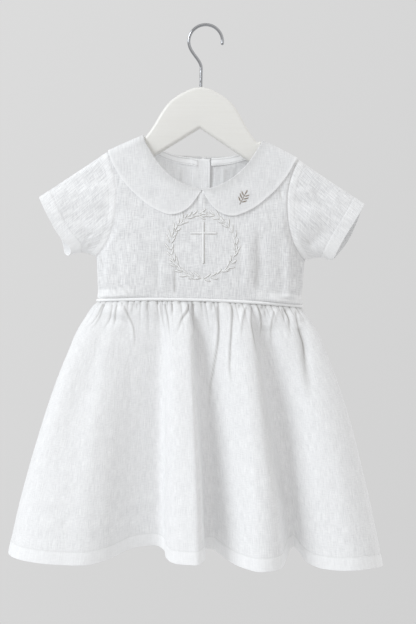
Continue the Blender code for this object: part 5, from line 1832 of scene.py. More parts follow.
@dataclass(frozen=True)
class SkirtForm:
    """The skirt without its gathers: a ring at the waist joined to a lobed ring at the hem.

    turn runs 0 to 1 across the front from the left side seam and 1 to 2 across the back; fall
    is the share of the way down.
    """

    bodice: BodiceForm
    length: float = 277.0
    # Share of the way down, share of the way from the waist out to the hem.
    spread: tuple[tuple[float, float], ...] = (
        (0.0, 0.0), (0.043, 0.10), (0.094, 0.204), (0.195, 0.335), (0.303, 0.463), (0.412, 0.572),
        (0.556, 0.695), (0.70, 0.806), (0.845, 0.902), (1.0, 1.0)
    )
    # Each turn of the hem seen from above across the front: x, y, height, and the share of the
    # waist that it hangs from. Where the cloth falls steeply to the right it hangs from a narrow
    # place, so that the fold keeps its edge all the way up.
    front: tuple[tuple[float, float, float, float], ...] = (
        (-205.0, 0.0, -581.5, 0.0), (-190.0, -37.0, -582.3, 0.028), (-170.0, -48.0, -583.4, 0.054),
        (-140.0, -54.0, -584.0, 0.085), (-112.0, -53.0, -583.2, 0.12),
        (-96.0, -46.0, -580.0, 0.143), (-84.5, -36.5, -576.5, 0.168), (-73.0, -28.0, -571.8, 0.198),
        (-56.0, -20.0, -569.0, 0.255), (-38.0, -16.5, -570.0, 0.318), (-33.5, -22.0, -572.0, 0.333),
        (-30.5, -43.0, -576.5, 0.349), (-22.0, -61.0, -578.3, 0.37), (-8.0, -69.5, -577.6, 0.4),
        (5.0, -72.5, -576.5, 0.432), (10.0, -67.0, -574.0, 0.44), (11.6, -45.0, -571.5, 0.447),
        (14.0, -26.0, -569.5, 0.46), (19.0, -22.5, -570.2, 0.488), (28.0, -30.0, -574.5, 0.524),
        (43.0, -46.0, -581.2, 0.575), (58.0, -61.5, -583.0, 0.62), (70.0, -70.5, -583.0, 0.662),
        (80.5, -69.8, -582.0, 0.695), (89.0, -63.5, -580.8, 0.705), (94.0, -50.0, -577.8, 0.711),
        (97.5, -36.0, -573.2, 0.7175), (101.3, -25.0, -568.0, 0.7275), (107.5, -20.5, -566.0, 0.75),
        (113.5, -24.0, -570.5, 0.78), (120.0, -31.5, -578.5, 0.8), (130.0, -40.0, -582.8, 0.826),
        (146.0, -50.0, -584.0, 0.865), (168.0, -56.5, -582.8, 0.915), (190.0, -49.0, -581.5, 0.965)
    )
    # And across the back, from the right side seam.
    back: tuple[tuple[float, float, float], ...] = (
        (204.5, 0.0, -586.0), (174.0, 49.0, -582.0), (128.0, 61.0, -579.5), (104.0, 19.0, -573.5),
        (82.0, 68.0, -577.0), (46.0, 76.0, -576.5), (28.0, 22.0, -572.0), (6.0, 15.0, -571.5),
        (-13.0, 66.0, -574.5), (-46.0, 75.0, -575.5), (-62.0, 20.0, -572.0), (-90.0, 64.0, -577.0),
        (-124.0, 60.0, -578.5), (-143.0, 24.0, -575.5), (-172.0, 45.0, -579.5)
    )

    def ring(self) -> tuple[Array, Array, Array]:
        """The hem's closed curve, the length travelled along it, and that length at its nodes."""
        nodes = np.array([node[:3] for node in self.front + self.back])
        closed = np.concatenate([nodes[-3:], nodes, nodes[:4]])
        along = lengths_along(closed[:, :2])
        fine = np.linspace(along[0], along[-1], 6000)
        line = spline(along, closed, fine)
        travelled = lengths_along(line[:, :2])
        return line, travelled, np.interp(along[3:-3], fine, travelled)

    def hem(self, turn: Array) -> Array:
        """x, y and z of the hem, by its length.

        Args:
            turn: Turns round the skirt.

        Returns:
            A point for each.
        """
        line, travelled, stops = self.ring()
        left, right, again = stops[[0, len(self.front), -1]]
        turn = np.mod(turn, 2.0)
        first, second = (right - left) * turn, (again - right) * (turn - 1)
        at = np.where(turn <= 1, left + first, right + second)
        return read_line(line, travelled, at)

    def hung(self, turn: Array) -> Array:
        """The turn of the waist that each turn of the hem hangs from, by the front's table.

        The table's straight runs are averaged over a short reach, so that none of its nodes
        shows as a crease.

        Args:
            turn: Turns of the hem.

        Returns:
            The waist's turns.
        """
        stops = self.ring()[2][: len(self.front) + 1]
        stops = (stops - stops[0]) / (stops[-1] - stops[0])
        fine = np.linspace(0.0, 1.0, 2001)
        aside = np.interp(fine, stops, [node[3] for node in self.front] + [1.0]) - fine
        window = np.hanning(23)
        aside = np.pad(aside, 11, mode="reflect", reflect_type="odd")
        aside = np.convolve(aside, window / window.sum(), mode="valid")
        turn = np.mod(turn, 2.0)
        return turn + np.where(turn <= 1, np.interp(turn, fine, aside), 0.0)

    def waist(self, turn: Array) -> Array:
        """x, y and z of the skirt's top edge, tucked behind the cord.

        Args:
            turn: Turns round the skirt.

        Returns:
            A point for each.
        """
        form, turn = self.bodice, np.mod(turn, 2.0)
        x = form.waist_x(np.where(turn <= 1, turn, 2 - turn))
        z = form.waist_height(x)
        side = np.where(turn <= 1, -1.0, 1.0)
        return stacked(x, side * form.half_depth(x, z), z - form.cord / 2 - 0.3)

    def surface(self, turn: Array, fall: Array) -> Array:
        """The form as a grid.

        Args:
            turn: A turn for each column.
            fall: The share of the way down for each row.

        Returns:
            The grid of points.
        """
        waist, hem = self.waist(self.hung(turn))[None], self.hem(turn)[None]
        rows = np.array(self.spread)
        spread = spline(rows[:, 0], rows[:, 1], fall)[:, None, None]
        points = waist + (hem - waist) * spread
        points[..., 2] = waist[..., 2] + (hem[..., 2] - waist[..., 2]) * fall[:, None]
        return points


@dataclass(frozen=True)
class Skirt:
    """Two widths of linen, gathered into the waist, that fall in deep folds to a turned hem."""

    form: SkirtForm
    finishes: Finishes
    half_columns: int = 448
    hem: float = 14.0
    tuck: float = 0.9  # how far the top edge goes in behind the cord
    cloth_width: float = 690.0  # of each half, before it is gathered
    seed: int = 63

    def rows(self) -> Array:
        """Lengths down the skirt: close together at the waist, at the hem's seam and its edge."""
        parts = [np.linspace(0.0, 46.0, 42), np.linspace(49.0, 258.0, 42)]
        parts += [np.linspace(260.0, 265.6, 9), np.linspace(267.0, 275.6, 6)]
        parts += [np.array([276.2, 276.5, 276.7, 276.85, 276.95, 277.0])]
        return np.concatenate(parts)

    def tucks(self) -> Array:
        """Turns of all the gathers' tucks: the front's, and uneven ones on the back."""
        rng = np.random.default_rng(self.seed)
        steps = np.cumsum(rng.uniform(0.45, 1.6, 34))
        back = 1.0 + np.concatenate([[0.0], steps[:-1]]) / steps[-1]
        return np.concatenate([FRONT_TUCKS, back])

    def gathers(self, turn: Array, down: Array) -> Array:
        """Height of the gathers: rounded puffs between sharp tucks, each fading at its own rate.

        A puff is a sine between its two tucks, raised to a power that rounds its top and
        sharpens the tucks; narrower ones stand lower.

        Args:
            turn: The columns' turns.
            down: The rows' lengths down the skirt.

        Returns:
            The height at each place.
        """
        tucks = self.tucks()
        ends = np.concatenate([tucks, [2.0]])
        number = np.clip(np.searchsorted(tucks, turn, side="right") - 1, 0, len(tucks) - 1)
        width = np.diff(ends)[number]
        share = np.clip((turn - tucks[number]) / width, 0.0, 1.0)
        rng = np.random.default_rng(self.seed + 1)
        height = rng.uniform(0.75, 1.25, len(tucks))[number] * np.sqrt(width / 0.034)
        length = (6.0 + 20.0 * rng.uniform(0.0, 1.0, len(tucks)) ** 3)[number]
        skew = rng.uniform(0.8, 1.25, len(tucks))[number]
        wave = np.sqrt(np.sin(math.pi * share**skew) ** 2 + 0.004)
        short = np.exp(-((down[:, None] / length) ** 1.4))
        sharp = wave**0.6 * short * np.minimum(height, 1.5) * 1.9
        return sharp - 1.0 * np.exp(-down[:, None] / 30.0)

    def fold(self, kind: str, path: Array, places: Array, sums: Array) -> None:
        """Adds one fold.

        Args:
            kind: Its name in FOLD_KINDS.
            path: x and z down its line.
            places: x and z of the columns that it may reach.
            sums: The height, painted shade and painted highlight that it adds to.
        """
        width, height, lean, die_away, stepped, dark, bright, half = FOLD_KINDS[kind]
        crease = Crease(path, width, height, lean, COME_IN, die_away, stepped)
        shades = crease.shade(*places, half)
        sums += np.array([crease.at(*places), dark * shades[0], bright * shades[1]])

    def folds(self, surface: Array, turn: Array) -> Array:
        """The longer folds: the front's listed ones, and the back's alike but drawn.

        Args:
            surface: Points of the form.
            turn: The columns' turns.

        Returns:
            The height at each place, and its painted shade and painted highlight there.
        """
        middle = self.form.bodice.middle
        places = np.array([surface[..., 0] - middle, surface[..., 2]])
        count = int(np.sum(turn <= 1))
        front, back = places[..., :count], places[..., count:]
        front_sums, back_sums = np.zeros((3, *front.shape[1:])), np.zeros((3, *back.shape[1:]))
        for kind, *flat in FRONT_FOLDS:
            self.fold(kind, np.reshape(flat, (-1, 2)), front, front_sums)
        rng = np.random.default_rng(self.seed + 2)
        kinds = ("nick", "lip", "furrow", "fold", "pleat", "swell")
        shares = self.rows() / self.form.length
        for tuck in self.tucks()[len(FRONT_TUCKS) :]:
            kind = kinds[rng.choice(6, p=(0.22, 0.18, 0.22, 0.16, 0.15, 0.07))]
            reach = {"nick": 0.04, "lip": 0.08, "furrow": 0.12}.get(kind, 0.3)
            falls = np.linspace(0.012, reach * rng.uniform(0.7, 1.4), 5)
            sway = np.cumsum(rng.normal(0.0, 0.004, 5))
            column = np.interp(tuck + sway, turn, np.arange(len(turn))).astype(int)
            row = np.interp(falls, shares, np.arange(len(shares))).astype(int)
            self.fold(kind, places[:, row, column].T, back, back_sums)
        return np.concatenate([front_sums, back_sums], axis=-1)

    def build(self) -> list[Any]:
        """Both halves and the stitches of their hem.

        Returns:
            The objects.
        """
        count = self.half_columns
        turn = np.linspace(0.0, 2.0, 2 * count, endpoint=False)
        down = self.rows()
        fall = down / self.form.length
        surface = self.form.surface(turn, fall)
        away = surface - surface.mean(axis=1, keepdims=True)
        normals = grid_normals(surface, away, wrapped=True)
        normals[..., 2] *= smoothstep(fall, 0.0, 0.04)[:, None]
        normals = unit(normals)
        width = self.cloth_width
        x, z = np.broadcast_arrays(turn[None, :] * width, down[:, None])
        seam = self.form.length - self.hem
        lift, dark, bright = self.folds(surface, turn)
        puffs = self.gathers(self.form.hung(turn), down)
        lift += puffs
        lift += uneven(x, z, self.seed + 3, 46.0, 1.3, 2.6) * smoothstep(z, 4.0, 60.0)
        lift += uneven(x, z, self.seed + 4, 15.0, 0.14, 3.0) * smoothstep(z, 2.0, 30.0)
        lift += uneven(x, z, self.seed + 5, 6.0, 0.03, 2.0)
        # It rolls out under the waist, tucks in behind the cord, and dips at its seams.
        lift += 0.9 * bell(z - 9.0, 8.0)
        lift -= self.tuck * bell(z, 1.4)
        lift += seam_dip(np.abs(z - (seam + 0.6)), 0.8, 0.28)
        side = np.minimum(np.abs(np.mod(turn, 1.0)), 1 - np.mod(turn, 1.0)) * width
        lift += seam_dip(side, 1.4, 0.45)[None] * smoothstep(z, 4.0, 14.0)
        points = surface + normals * lift[..., None]
        points[..., 2] += 0.7 * np.exp(-z / 1.5)
        normals = grid_normals(points, away, wrapped=True)
        hemmed = smoothstep(z, seam, seam + 0.5)
        thickness = SINGLE + (DOUBLE - SINGLE) * hemmed
        thickness = np.minimum(thickness, rounded(self.form.length - z, 1.1))
        uv = stacked(x, z) * MM
        # The skirt is made a little lighter all over, the hem lies double, and painted highlight runs along
        # the lips of its folds.
        layers = 0.45 + 0.55 * hemmed + bright
        # Painted shade in the gathers' tucks, under the cord, in the folds and along the hem's seam.
        hollow = 0.45 * hollows(puffs, 4, 0.5, wrapped=True) + 0.35 * np.exp(-z / 2.0) + dark
        hollow += 0.12 * bell(z - (seam + 0.3), 0.8)
        hollow = np.clip(hollow, 0.0, 1.0)
        pieces, lines = [], []
        row = int(np.argmin(np.abs(down - (seam + 1.2))))
        for name, first in (("skirt_front", 0), ("skirt_back", count)):
            columns = np.arange(first, first + count + 1) % (2 * count)
            cloth_uv = uv[:, columns].copy()
            cloth_uv[:, -1, 0] = (first + count) / count * width * MM
            cloth = Cloth(
                points[:, columns], normals[:, columns], cloth_uv, layers[:, columns],
                thickness[:, columns], hollow=hollow[:, columns]
            )
            piece = cloth.build(f"{name}_cloth", self.finishes.linen)
            half = thickness[row, columns][:, None] / 2
            lines.append((points[row, columns] + normals[row, columns] * half, normals[row, columns]))
            pieces.append(settle(piece, "linen", name))
        thread = Stitching(pitch=2.8, length=2.1).build(
            "skirt_hem_stitches", lines, self.finishes.white_thread
        )
        pieces.append(settle(thread, "embroidery_white"))
        return pieces


# ---------------------------------------------------------------- embroidery

LEAF_POINTS = 9


def strands(
    name: str, paths: Array, ups: Array, widths: Array, heights: Array, sides: int, finish: Any
) -> Any:
    """Many raised strands in one mesh: each an oval section carried along its own path.

    Args:
        name: The object's name.
        paths: For each strand its points.
        ups: The cloth's outward direction at each of them.
        widths: Half the section's width at each.
        heights: Half its height at each.
        sides: Points round the section.
        finish: Its material.

    Returns:
        The object.
    """
    count, steps = paths.shape[:2]
    ahead = unit(np.gradient(paths, axis=1))
    aside = unit(np.cross(ahead, ups))
    turn = round_turn(sides)
    across = aside[:, :, None] * (widths[..., None] * np.cos(turn))[..., None]
    out = across + ups[:, :, None] * (heights[..., None] * np.sin(turn))[..., None]
    grid = paths[:, :, None] + out
    ring = grid_quads(steps, sides, True)
    ring = facing(grid[0].reshape(-1, 3), out[0].reshape(-1, 3), ring)
    faces = (ring[None] + (np.arange(count) * steps * sides)[:, None, None]).reshape(-1, 4)
    steps_along = np.linalg.norm(np.diff(paths, axis=1), axis=-1)
    along = np.concatenate([np.zeros((count, 1)), np.cumsum(steps_along, 1)], 1)
    around = np.cos(turn) * float(widths.max())
    uv = np.stack(np.broadcast_arrays(along[..., None], around), axis=-1).reshape(-1, 2) * MM
    return add_mesh(name, grid.reshape(-1, 3), faces, finish, uv=uv)


@dataclass(frozen=True)
class Embroidery:
    """Raised satin stitch on the bodice and the collar: a leaf wreath, a cross and a sprig."""

    form: BodiceForm
    finishes: Finishes
    centre: tuple[float, float] = (1.8, -243.0)
    size: tuple[float, float] = (35.0, 34.6)  # half width and half height of the wreath's ring
    leaf: tuple[float, float] = (8.4, 1.6)  # length and width
    height: float = 0.75
    splay: tuple[float, ...] = (0.46, -0.40, 0.04)  # the three leaves' turns off the ring
    left_out: tuple[float, ...] = (0.03, 0.03, 0.5)  # and how often one is left out
    rim: float = 0.35  # how far the painted shadow shows round the stitches
    rim_height: float = 0.25
    # The cross's bars: both ends in x and z, and half the width.
    bars: tuple[tuple[float, ...], ...] = (
        (1.4, -216.5, 2.3, -262.8, 1.25), (-12.3, -229.7, 16.7, -229.1, 1.05)
    )
    # The sprig: its foot, the degrees that it leans, its length, and its pairs of leaves as their
    # distance up the stem and length. One more leaf ends it.
    sprig_foot: tuple[float, float] = (40.5, -197.5)
    sprig_lean: float = 64.0
    sprig_length: float = 14.0
    sprig_pairs: tuple[tuple[float, float], ...] = ((3.0, 6.0), (6.6, 6.4), (10.2, 5.6))
    sprig_end: tuple[float, float] = (12.6, 5.0)
    sprig_splay: float = 0.85
    seed: int = 77

    def on_cloth(self, x: Array, z: Array, lift: float) -> tuple[Array, Array]:
        """Points and outward directions on the front bodice."""
        lift += FrontBodice(self.form, self.finishes).lift_at(x, z)
        return self.form.cloth(x, self.form.along_of(x, z), Face.FRONT, lift)

    def swell(self, power: float, least: float) -> Array:
        """Width along a leaf, as a share of its widest: a sine to a power, above a least."""
        share = np.linspace(0.02, 0.98, LEAF_POINTS)
        return np.maximum(np.sin(math.pi * share) ** power, least)

    def leaves(self, roots: Array, headings: Array, sizes: Array) -> tuple[Array, Array]:
        """Paths of leaves in the front view: each curves a little on its way.

        Args:
            roots: x and z of their feet.
            headings: Angles that they point in.
            sizes: Their lengths.

        Returns:
            x and z of the points of each.
        """
        bend = np.linspace(-0.16, 0.16, LEAF_POINTS)[None] * np.sign(np.cos(headings))[:, None]
        angle = headings[:, None] + bend
        step = sizes[:, None] / (LEAF_POINTS - 1)
        x = roots[:, :1] + np.cumsum(np.cos(angle) * step, axis=1)
        z = roots[:, 1:] + np.cumsum(np.sin(angle) * step, axis=1)
        return x, z

    def wreath(self) -> list[Any]:
        """Two branches that rise from the bottom and meet at the top, with leaves in threes.

        Returns:
            The leaves and the stems.
        """
        rng = np.random.default_rng(self.seed)
        roots, headings, sizes = [], [], []
        for side in (-1.0, 1.0):
            angles = np.radians(-90 + side * np.linspace(2.0, 171.0, 16))
            for angle in angles:
                place = np.array(self.centre) + np.array(self.size) * [np.cos(angle), np.sin(angle)]
                ahead = angle + side * math.pi / 2
                for turn, left_out in zip(self.splay, self.left_out):
                    if rng.uniform() < left_out:
                        continue
                    roots.append(place + rng.normal(0.0, 0.5, 2))
                    headings.append(ahead - side * turn + rng.normal(0.0, 0.13))
                    sizes.append(self.leaf[0] * rng.uniform(0.78, 1.12))
        x, z = self.leaves(np.array(roots), np.array(headings), np.array(sizes))
        swell = self.swell(0.75, 0.05)
        points, normals = self.on_cloth(x, z, SINGLE / 2 + 0.1)
        widths = np.tile(swell * self.leaf[1] / 2, (len(x), 1))
        heights = np.tile(swell * self.height, (len(x), 1))
        thread = self.finishes.white_thread
        pieces = [strands("wreath_leaves", points, normals, widths, heights, 10, thread)]
        # Painted shadow: a flat darker strand set a little down and to the right of each leaf.
        low, ups = self.on_cloth(x + 0.4 * self.rim, z - 0.4 * self.rim, SINGLE / 2)
        shade = self.finishes.shadow_rim_paint
        flat = np.full(widths.shape, self.rim_height)
        pieces.append(strands("wreath_painted_shadows", low, ups, widths + self.rim, flat, 8, shade))
        turn = np.radians(-90 + np.linspace(3.0, 160.0, 60))
        stems = []
        for side in (-1.0, 1.0):
            angle = -math.pi / 2 + side * (turn + math.pi / 2)
            wobble = 1 + 0.008 * np.sin(9 * angle)
            sx = self.centre[0] + self.size[0] * np.cos(angle) * wobble
            sz = self.centre[1] + self.size[1] * np.sin(angle) * wobble
            stems.append(self.on_cloth(sx, sz, SINGLE / 2))
        paths, ups = (np.array([stem[k] for stem in stems]) for k in range(2))
        thin = np.full(paths.shape[:2], 0.28)
        pieces.append(strands("wreath_stems", paths, ups, thin, thin * 0.9, 8, thread))
        return [settle(piece, "embroidery_white") for piece in pieces]

    def cross(self) -> list[Any]:
        """A plain Latin cross: two bars of satin stitch with square ends, and their painted shadows."""
        share = np.linspace(0.0, 1.0, 41)
        paths, ups, widths, lows = [], [], [], []
        for x0, z0, x1, z1, half in self.bars:
            place = self.on_cloth(x0 + (x1 - x0) * share, z0 + (z1 - z0) * share, SINGLE / 2)
            paths.append(place[0])
            ups.append(place[1])
            end = np.minimum(share, 1 - share) * math.hypot(x1 - x0, z1 - z0)
            widths.append(half * np.sqrt(1 - (1 - np.clip(end / 0.9, 0.02, 1)) ** 2))
            # Painted shadow of each bar, set a little down and to the right.
            x, z = x0 + (x1 - x0) * share + 0.5 * self.rim, z0 + (z1 - z0) * share - 0.3 * self.rim
            lows.append(self.on_cloth(x, z, SINGLE / 2)[0])
        widths, ups = np.array(widths), np.array(ups)
        white, shade = self.finishes.white_thread, self.finishes.shadow_rim_paint
        piece = strands("cross", np.array(paths), ups, widths, widths * 0.85, 12, white)
        flat = np.full(widths.shape, self.rim_height)
        rim = strands("cross_painted_shadow", np.array(lows), ups, widths + self.rim, flat, 8, shade)
        return [settle(part, "embroidery_white") for part in (piece, rim)]

    def sprig(self, collar: Any) -> Any:
        """A small plain sprig on the right collar, in taupe: a stem and pairs of leaves.

        Args:
            collar: The collar's object, whose face it is laid on.

        Returns:
            The sprig.
        """
        lean, turn = math.radians(self.sprig_lean), self.sprig_splay
        ahead = np.array([math.cos(lean), math.sin(lean)])
        foot = np.array(self.sprig_foot)
        rows = [(*pair, side * turn) for pair in self.sprig_pairs for side in (1, -1)]
        places, sizes, turns = np.array(rows + [(*self.sprig_end, 0.0)]).T
        x, z = self.leaves(foot + ahead * places[:, None], lean + turns, sizes)
        stem = foot + ahead * np.linspace(0.0, self.sprig_length, LEAF_POINTS)[:, None]
        x, z = np.concatenate([x, stem[None, :, 0]]), np.concatenate([z, stem[None, :, 1]])
        mesh = collar.data
        spots = np.empty(len(mesh.vertices) * 3)
        mesh.vertices.foreach_get("co", spots)
        spots = spots.reshape(-1, 3) / MM
        outer = spots[: len(spots) // 2]
        outer = outer[outer[:, 1] < 0]
        gap = (outer[:, 0] - x[..., None]) ** 2 + (outer[:, 2] - z[..., None]) ** 2
        near = np.argsort(gap, axis=-1)[..., :4]
        weight = 1 / (np.take_along_axis(gap, near, axis=-1) + 0.05)
        y = np.sum(outer[near, 1] * weight, axis=-1) / np.sum(weight, axis=-1)
        _, ups = self.on_cloth(x, z, 0.0)
        widths = np.tile(self.swell(0.8, 0.06) * 0.75, (len(x), 1))
        widths[-1] = 0.35
        paths = stacked(x, y - 0.1, z)
        heights, thread = np.minimum(widths, 0.45), self.finishes.taupe_thread
        piece = strands("collar_sprig", paths, ups, widths, heights, 10, thread)
        return settle(piece, "embroidery_taupe")


# ---------------------------------------------------------------- buttons, hanger and hook


@dataclass(frozen=True)
class Buttons:
    """Four pearl buttons on the lapped back, sewn through four holes, and their buttonholes."""

    form: BodiceForm
    finishes: Finishes
    opening: float = -1.3  # x of their row, from the gown's middle
    rows: tuple[float, ...] = (-197.0, -225.0, -253.0, -281.0)
    radius: float = 5.5
    off_cloth: float = 1.5 + 0.6 + 0.3 + 1.1  # the lap, its wall, a gap and half a button
    hole_off_cloth: float = 1.5 + 0.62
    thread_size: tuple[float, float] = (1.25, 0.85)  # half a thread, and half the gap between two
    thread_off: tuple[float, float] = (0.62, 0.25)  # over the button's middle, and its arch
    thread_turn: float = 8.0  # degrees between one button's threads and the next one's
    hole_size: tuple[float, float] = (6.8, 0.65)  # half its length, and half the gap between rows
    # The turned profile: share of the radius and height over the button's middle.
    profile: tuple[tuple[float, float], ...] = (
        (0.02, -1.1), (0.80, -1.1), (0.93, -0.9), (1.0, -0.35), (0.99, 0.25), (0.93, 0.75),
        (0.84, 1.05), (0.76, 1.08), (0.68, 0.86), (0.60, 0.68), (0.45, 0.62), (0.02, 0.60)
    )

    def build(self) -> list[Any]:
        """Every button with its thread and its buttonhole.

        Returns:
            The objects.
        """
        form, made = self.form, []
        x = form.middle + self.opening
        turn = round_turn(40)
        bars, holes = [], []
        for number, z in enumerate(self.rows, 1):
            spot, up = form.cloth(x, form.along_of(np.array(x), z), Face.BACK, self.off_cloth)
            aside = unit(np.cross(up, [0.0, 0.0, 1.0]))
            top = np.cross(aside, up)
            line = spline(np.arange(len(self.profile)), self.profile, np.linspace(0, 11, 34))
            out = aside * np.cos(turn)[:, None] + top * np.sin(turn)[:, None]
            grid = spot + out[None] * (line[:, 0] * self.radius)[:, None, None]
            grid = grid + up * line[:, 1][:, None, None]
            piece = round_mesh(f"button_{number}_disc", grid, grid - spot, self.finishes.pearl)
            made.append(settle(piece, "button", f"button_{number}"))
            tilt = math.radians(self.thread_turn * (number - 2.5))
            one = aside * math.cos(tilt) + top * math.sin(tilt)
            two = np.cross(up, one)
            share = np.linspace(-1.0, 1.0, 9)
            height = self.thread_off[0] + self.thread_off[1] * (1 - share**2)
            rows = np.linspace(-1.0, 1.0, 28)
            for side in (-1.0, 1.0):
                at = spot + one * self.thread_size[0] * share[:, None]
                at = at + two * side * self.thread_size[1]
                bars.append((at + up * height[:, None], np.tile(up, (9, 1))))
                at = spot + top * self.hole_size[0] * rows[:, None]
                at = at + aside * side * self.hole_size[1]
                down = self.off_cloth - self.hole_off_cloth
                holes.append((at - up * down, np.tile(up, (28, 1))))
        thread = self.finishes.white_thread
        for name, lines, half in (("button_threads", bars, 0.34), ("buttonholes", holes, 0.55)):
            paths, ups = (np.array([line[k] for line in lines]) for k in range(2))
            end = np.minimum(np.linspace(0, 1, paths.shape[1]), np.linspace(1, 0, paths.shape[1]))
            widths = np.tile(half * np.clip(end * 8 + 0.3, 0, 1), (len(paths), 1))
            piece = strands(name, paths, ups, widths, widths * 0.7, 8, thread)
            made.append(settle(piece, "embroidery_white"))
        return made


@dataclass(frozen=True)
class Hanger:
    """A flat painted hanger for a child's clothes, with rounded edges, and its wire hook."""

    form: BodiceForm
    finishes: Finishes
    wire: float = 3.4
    hook_radius: float = 18.5
    hook_arc: tuple[float, float] = (-6.0, 196.0)
    hook_pull: tuple[float, float] = (30.0, 28.0)
    stem: tuple[float, float] = (-47.0, -84.0)
    half_thickness: float = 5.0
    edge: float = 3.6
    reach: float = 95.5
    tip: tuple[float, float] = (7.0, 8.0)
    tip_arc: tuple[float, float] = (45.0, -75.0)
    under_cloth: float = 1.2  # its top edge below the cloth's middle
    # Distance from the hanger's middle, height of its top edge, height of its lower edge.
    rows: tuple[tuple[float, float, float], ...] = (
        (0.0, -67.2, -112.6), (9.0, -69.0, -118.4), (17.0, -72.6, -123.6), (28.0, -79.2, -130.7),
        (36.5, -87.0, -136.2), (44.0, -98.0, -141.0), (51.0, -110.4, -145.5),
        (58.5, -121.4, -150.2), (64.0, -127.0, -153.6)
    )

    def half_outline(self, count: int) -> tuple[Array, Array]:
        """The right half's upper and lower edges, each from the middle to the tip's extreme.

        Args:
            count: How many steps each edge has.

        Returns:
            x and z down the upper and the lower one.
        """
        rows, form = np.array(self.rows), self.form
        arm = np.linspace(66.0, self.reach, 12)
        arm_top = form.ridge(form.hanger_x + arm) - self.under_cloth
        out = np.concatenate([rows[:, 0], arm])
        heights = np.concatenate([rows[:, 1], arm_top])
        fine = np.linspace(0.0, self.reach, 240)
        upper = stacked(fine, spline(out, heights, fine))
        end = float(arm_top[-1]) - self.tip[1]
        turn = np.radians(np.linspace(self.tip_arc[0], self.tip_arc[1], 60))
        around = stacked(np.cos(turn), np.sin(turn)) * np.array(self.tip)
        cap = np.array([self.reach, end]) + around
        stations = np.concatenate([rows[:, 0], [self.reach]])
        heights = np.concatenate([rows[:, 2], [end - self.tip[1]]])
        lower = stacked(fine, spline(stations, heights, fine))
        above, below = cap[:30], cap[29:]
        shares = crowded(count, (1.0, 0.08, 4.0), (0.0, 0.03, 2.0))
        first = along_line(np.concatenate([upper, above]), shares)
        second = along_line(np.concatenate([lower, below[::-1]]), shares)
        return first, second

    def body(self) -> Any:
        """The hanger's body.

        Rings of its outline, each moved in and forward along a quarter circle, round its edges
        on both faces, and strips between the upper and the lower edge close them.

        Returns:
            The object.
        """
        upper, lower = self.half_outline(110)
        mirror = np.array([-1.0, 1.0])
        top = np.concatenate([upper[:0:-1] * mirror, upper])
        bottom = np.concatenate([lower[:0:-1] * mirror, lower])
        outline = np.concatenate([top, bottom[-2:0:-1]])
        step = np.roll(outline, -1, axis=0) - np.roll(outline, 1, axis=0)
        outward = unit(stacked(-step[:, 1], step[:, 0]))
        size = len(outline)
        bends = np.linspace(0.0, math.pi / 2, 8)
        rings = []
        for face, turns in ((-1.0, bends), (1.0, bends[::-1])):
            for bend in turns:
                shape = outline - outward * self.edge * (1 - math.sin(bend))
                depth = face * (self.half_thickness - self.edge * (1 - math.cos(bend)))
                across = shape[:, 0] + self.form.hanger_x
                rings.append(stacked(across, np.full(size, depth), shape[:, 1]))
        points = np.array(rings)
        flat = points.reshape(-1, 3)
        centre = stacked(outline[:, 0] + self.form.hanger_x, 0 * outline[:, 0], outline[:, 1])
        out = (points - (centre - stacked(outward[:, 0], 0 * step[:, 0], outward[:, 1]) * 5))
        faces = facing(flat, out.reshape(-1, 3), grid_quads(len(rings), size, True))
        width = len(top)
        low = np.concatenate([[0], np.arange(size - 1, width - 1, -1), [width - 1]])
        k = np.arange(width - 1)
        cap = stacked(k, k + 1, low[k + 1], low[k])
        ahead = np.tile([0.0, 1.0, 0.0], (len(flat), 1))
        back = facing(flat, ahead, cap + size * (len(rings) - 1))
        faces = np.concatenate([faces, facing(flat, -ahead, cap), back])
        piece = add_mesh("hanger_wood", flat, faces, self.finishes.paint)
        return settle(piece, "hanger_paint", "hanger_body")

    def hook(self) -> Any:
        """The hook: an arc over the crown, a soft S down to the stem, and the stem."""
        centre = self.wire / 2 - self.hook_radius
        turn = np.radians(np.linspace(*self.hook_arc, 90))
        arc = stacked(np.cos(turn), 0 * turn, np.sin(turn)) * self.hook_radius
        arc[:, 2] += centre
        share = np.linspace(0.0, 1.0, 40)[1:, None]
        start, end = arc[-1], np.array([self.form.hanger_x, 0.0, self.stem[0]])
        leave = np.array([-math.sin(turn[-1]), 0.0, math.cos(turn[-1])]) * self.hook_pull[0]
        arrive = np.array([0.0, 0.0, -self.hook_pull[1]])
        bend = hermite(share, start, leave, end, arrive)
        down = np.linspace(self.stem[0], self.stem[1], 12)[1:]
        stem = stacked(np.full(11, self.form.hanger_x), 0 * down, down)
        line = np.concatenate([arc, bend, stem])
        piece = closed_tube("hook_wire", line, self.wire / 2, 24, self.finishes.steel)
        return settle(piece, "hook_steel", "hanger_hook")


# ---------------------------------------------------------------- studio


